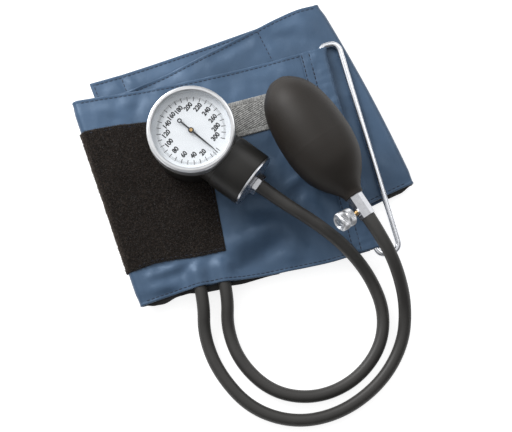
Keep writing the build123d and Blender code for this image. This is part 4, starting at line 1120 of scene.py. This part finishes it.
# (share of the corner's radius, or none for the bore, distance along the neck)
NUT_RINGS = ((None, 49.0), (0.9, 49.0), (1.0, 49.4), (1.0, 51.7), (0.9, 52.1), (None, 52.1))
side_way = unit(np.cross(NECK_DIRECTION, (0.0, 0.0, 1.0)))
up_way = np.cross(NECK_DIRECTION, side_way)
nut_points, nut_faces = [], []
for index, (share, along) in enumerate(NUT_RINGS):
    for turn in 2 * math.pi * np.arange(NUT_SIDES) / NUT_SIDES:
        flat_side = math.cos(math.pi / 6) / math.cos((turn % (math.pi / 3)) - math.pi / 6)
        radius = NUT_AF / 2 / math.cos(math.pi / 6) * min(flat_side, share * 1.06) if share else NUT_BORE_R
        way = side_way * math.cos(turn + NUT_TURN) + up_way * math.sin(turn + NUT_TURN)
        nut_points.append(NECK_ORIGIN + NECK_DIRECTION * along + way * radius)
    following = (index + 1) % len(NUT_RINGS)
    nut_faces += ring_faces(index * NUT_SIDES, following * NUT_SIDES, NUT_SIDES)
add_piece("gauge_inlet_nut", (nut_points, nut_faces), fitting, sharp=20)

# ---- knurled knob of the release valve
KNOB_TILT = math.radians(22.0)
across_bulb = np.array((ALONG[1], -ALONG[0], 0.0))
knob_way = across_bulb * math.cos(KNOB_TILT) + np.array((0.0, 0.0, math.sin(KNOB_TILT)))
knob_origin = bulb_tip + ALONG * (BULB_LENGTH + 9.7)
KNURLS = 36
knob_profile = (
    (1.9, 8.7), (3.2, 8.7), (3.6, 8.9), (3.8, 9.4), (4.6, 9.6), (5.4, 9.9), (5.6, 10.3), (5.6, 12.9),
    (5.3, 13.3), (4.3, 13.5), (4.1, 13.8), (4.1, 14.4), (4.3, 14.7), (5.5, 14.9), (5.9, 15.3),
    (5.9, 18.6), (5.7, 19.0), (5.2, 19.3), (4.9, 19.8), (4.5, 19.9), (4.1, 19.8), (3.9, 19.5),
    (3.9, 18.7), (1.1, 18.7), (1.1, 17.0), (1.9, 17.0),
)
knob_points, knob_faces = lathe(knob_profile, knob_origin, knob_way, KNURLS * 6)
knob_points = np.array(knob_points)
from_axis = knob_points - knob_origin
from_axis = from_axis - np.outer(from_axis @ knob_way, knob_way)
reach = np.linalg.norm(from_axis, axis=1)
tooth = np.tile(0.5 - 0.5 * np.cos(np.arange(KNURLS * 6) * math.pi / 3), len(knob_profile))
cut = 0.42 * tooth * ease((reach - 5.25) / 0.3)
knob_points -= from_axis / reach[:, None] * cut[:, None]
knob_shape = (knob_points, knob_faces)
add_piece("knob_knurled", knob_shape, knurled, ("knob",), 40, "release_knob")

# ---- dial print
GAUGE = NECK_ORIGIN[:2]
DIAL_TOP = mm_box("dial")[1][2]
PRINT_T = 0.04
DIAL_TURN = math.radians(-3.2)
ZERO_ANGLE = NECK_ANGLE + DIAL_TURN
MMHG_TURN = math.radians(334.0 / 300.0)
NUMBER_RADIUS, NUMBER_HEIGHT, NUMBER_WIDTH = 15.2, 3.3, 0.92


def dial_point(radius, pressure, height=0.0):
    """A point on the dial; zero lies by the neck and the scale runs clockwise."""
    turn = ZERO_ANGLE - pressure * MMHG_TURN
    return np.array((*GAUGE, DIAL_TOP + height)) + np.array((math.cos(turn), math.sin(turn), 0.0)) * radius


def tick(pressure, start, end, width):
    """A printed line on the dial as a very thin bar."""
    turn = ZERO_ANGLE - pressure * MMHG_TURN
    side = np.array((-math.sin(turn), math.cos(turn), 0.0)) * width / 2
    points = []
    for height in (0.005, PRINT_T):
        for radius, sign in ((start, -1), (start, 1), (end, 1), (end, -1)):
            points.append(dial_point(radius, pressure, height) + side * sign)
    faces = [(3, 2, 1, 0), (4, 5, 6, 7), (0, 1, 5, 4), (1, 2, 6, 5), (2, 3, 7, 6), (3, 0, 4, 7)]
    return points, faces


heavy = []
fine = []
for pressure in range(0, 301, 2):
    if pressure % 10 == 0:
        heavy.append(tick(pressure, 18.5, 21.2, 0.46))
    else:
        fine.append(tick(pressure, 19.7, 21.1, 0.2))
for bracket in (-4.0, 4.0):
    heavy.append(tick(bracket, 18.6, 21.6, 0.36))


def number(text, centre, height_mm):
    """A number as a thin mesh, reading upright with the dial's zero at its foot."""
    font = bpy.data.curves.new("number", "FONT")
    font.body = text
    font.align_x = "CENTER"
    font.align_y = "CENTER"
    font.size = 1.0
    font.offset = 0.05
    font.resolution_u = 3
    holder = bpy.data.objects.new("number", font)
    scene.collection.objects.link(holder)
    bpy.context.view_layer.update()
    flat = bpy.data.meshes.new_from_object(holder)
    places = np.array([vertex.co[:] for vertex in flat.vertices])
    polygons = [tuple(polygon.vertices) for polygon in flat.polygons]
    low, high = places.min(axis=0), places.max(axis=0)
    places = (places - (low + high) / 2) / (high[1] - low[1]) * height_mm
    up = -np.array((math.cos(ZERO_ANGLE), math.sin(ZERO_ANGLE), 0.0))
    right = np.array((up[1], -up[0], 0.0))
    points = [centre + right * place[0] * NUMBER_WIDTH + up * place[1] for place in places]
    bpy.data.objects.remove(holder)
    bpy.data.curves.remove(font)
    bpy.data.meshes.remove(flat)
    return points, polygons


for pressure in range(20, 301, 20):
    heavy.append(number(str(pressure), dial_point(NUMBER_RADIUS, pressure, PRINT_T), NUMBER_HEIGHT))


def printed(name, runs, material):
    """Printed marks as one piece."""
    points, faces = gather(runs)
    data = bpy.data.meshes.new(name)
    data.from_pydata([tuple(point * MM) for point in points], [], faces)
    obj = bpy.data.objects.new(name, data)
    return finish_piece(obj, material, "set")


# ---- pointer
POINTER_LOW, POINTER_HIGH = mm_box("pointer")[0][2], mm_box("pointer")[1][2]
needle_way = np.array((math.cos(ZERO_ANGLE), math.sin(ZERO_ANGLE), 0.0))
needle_side = np.array((-needle_way[1], needle_way[0], 0.0))


def needle_bar(stations, low, high):
    """A thin tapered bar on the pointer's own line; stations are (distance, half width)."""
    points = []
    for distance, half in stations:
        for sign, height in ((-1, low), (1, low), (1, high), (-1, high)):
            points.append(np.array((*GAUGE, height)) + needle_way * distance + needle_side * half * sign)
    faces = [(3, 2, 1, 0), tuple(range(len(points) - 4, len(points)))]
    for base in range(0, len(points) - 4, 4):
        faces += ring_faces(base, base + 4, 4)
    return points, faces


def flat_ring(distance, outer, inner, low, high):
    """A small flat ring on the pointer's line."""
    centre = np.array((*GAUGE, 0.0)) + needle_way * distance
    under = ((inner, low), (outer - 0.06, low), (outer, low + 0.06))
    over = ((outer, high - 0.08), (outer - 0.08, high), (inner, high))
    return lathe(under + over, centre, (0.0, 0.0, 1.0), 48)


NEEDLE = ((1.3, 0.6), (8.0, 0.52), (15.0, 0.36), (18.2, 0.22), (18.9, 0.06))
needle_runs = [
    needle_bar(NEEDLE, POINTER_LOW, POINTER_HIGH - 0.03),
    needle_bar(((-1.3, 0.46), (-8.2, 0.42)), POINTER_LOW, POINTER_HIGH - 0.03),
    flat_ring(-9.2, 1.45, 0.75, POINTER_LOW, POINTER_HIGH - 0.01),
    flat_ring(0.0, 1.8, 0.55, POINTER_LOW, POINTER_HIGH),
]
needle_shape = gather(needle_runs)
add_piece("pointer_needle", needle_shape, pointer_black, ("pointer",), 30, "pointer_spindle")

printed("dial_scale", heavy, ink)
printed("dial_scale_fine", fine, faint_ink)

# ---- materials for the CAD parts that stay
KEPT = (
    (case_black, "gauge_case inlet_valve_seat"),
    (satin_metal, "bezel"),
    (crystal, "lens"),
    (dial_white, "dial dial_spacer"),
    (fitting, "end_plate gauge_inlet valve_body"),
    (brass, "movement_back_plate movement_front_plate movement_posts hairspring diaphragm_capsule"),
    (brass, "capsule_nut pointer_hub sector_gear release_screw seat_pad"),
    (steel, "hook_clip clip_rivets movement_screws inlet_filter pinion_arbor sector_arbor push_link"),
    (steel, "knob_screw inlet_ball outlet_ball"),
)
for material, names in KEPT:
    for name in names.split():
        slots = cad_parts[name].data.materials
        slots.clear()
        slots.append(material)

# ---- floor and light
floor_data = bpy.data.meshes.new("floor")
floor_data.from_pydata([(-2, -2, 0), (2, -2, 0), (2, 2, 0), (-2, 2, 0)], [], [(0, 1, 2, 3)])
floor = bpy.data.objects.new("floor", floor_data)
floor.location.z = -0.0002
floor.visible_diffuse = False
glow = {"Emission_Strength": 0.8, "Emission_Color": (1.0, 1.0, 1.0, 1.0)}
paper = shader("floor_paper", (0.5, 0.5, 0.5), 0.9, Specular_IOR_Level=0.0, **glow)
floor_data.materials.append(paper)
scene.collection.objects.link(floor)


def area_light(name, place, target, size, energy, colour=(1.0, 1.0, 1.0)):
    light = bpy.data.lights.new(name, "AREA")
    light.shape = "DISK"
    light.size = size
    light.energy = energy
    light.color = colour
    obj = bpy.data.objects.new(name, light)
    obj.location = place
    obj.rotation_mode = "QUATERNION"
    obj.rotation_quaternion = (Vector(target) - Vector(place)).to_track_quat("-Z", "Y")
    scene.collection.objects.link(obj)
    return obj


area_light("key", (-0.36, 0.54, 0.5), (-0.02, 0.0, 0.0), 0.42, 5.7)
area_light("fill", (0.46, 0.22, 0.38), (0.03, 0.0, 0.0), 0.42, 0.75)

# the room is bright overhead and towards the key, and dark towards the lower right
world = bpy.data.worlds.new("studio")
world.use_nodes = True
room = world.node_tree
background = room.nodes["Background"]
direction = room.nodes.new("ShaderNodeTexCoord")
towards = room.nodes.new("ShaderNodeVectorMath")
towards.operation = "DOT_PRODUCT"
towards.inputs[1].default_value = (-0.22, 0.38, 0.90)
room.links.new(direction.outputs["Generated"], towards.inputs[0])
ramp = room.nodes.new("ShaderNodeValToRGB")
ramp.color_ramp.elements.new(0.6)
for element, place, grey in zip(ramp.color_ramp.elements, (0.10, 0.58, 0.74), (0.11, 0.5, 1.0)):
    element.position = place
    element.color = (grey, grey, grey * 1.02 if grey < 0.9 else grey, 1.0)
room.links.new(towards.outputs["Value"], ramp.inputs["Fac"])
room.links.new(ramp.outputs["Color"], background.inputs["Color"])
background.inputs["Strength"].default_value = 0.84
scene.world = world
scene.view_settings.view_transform = "Standard"
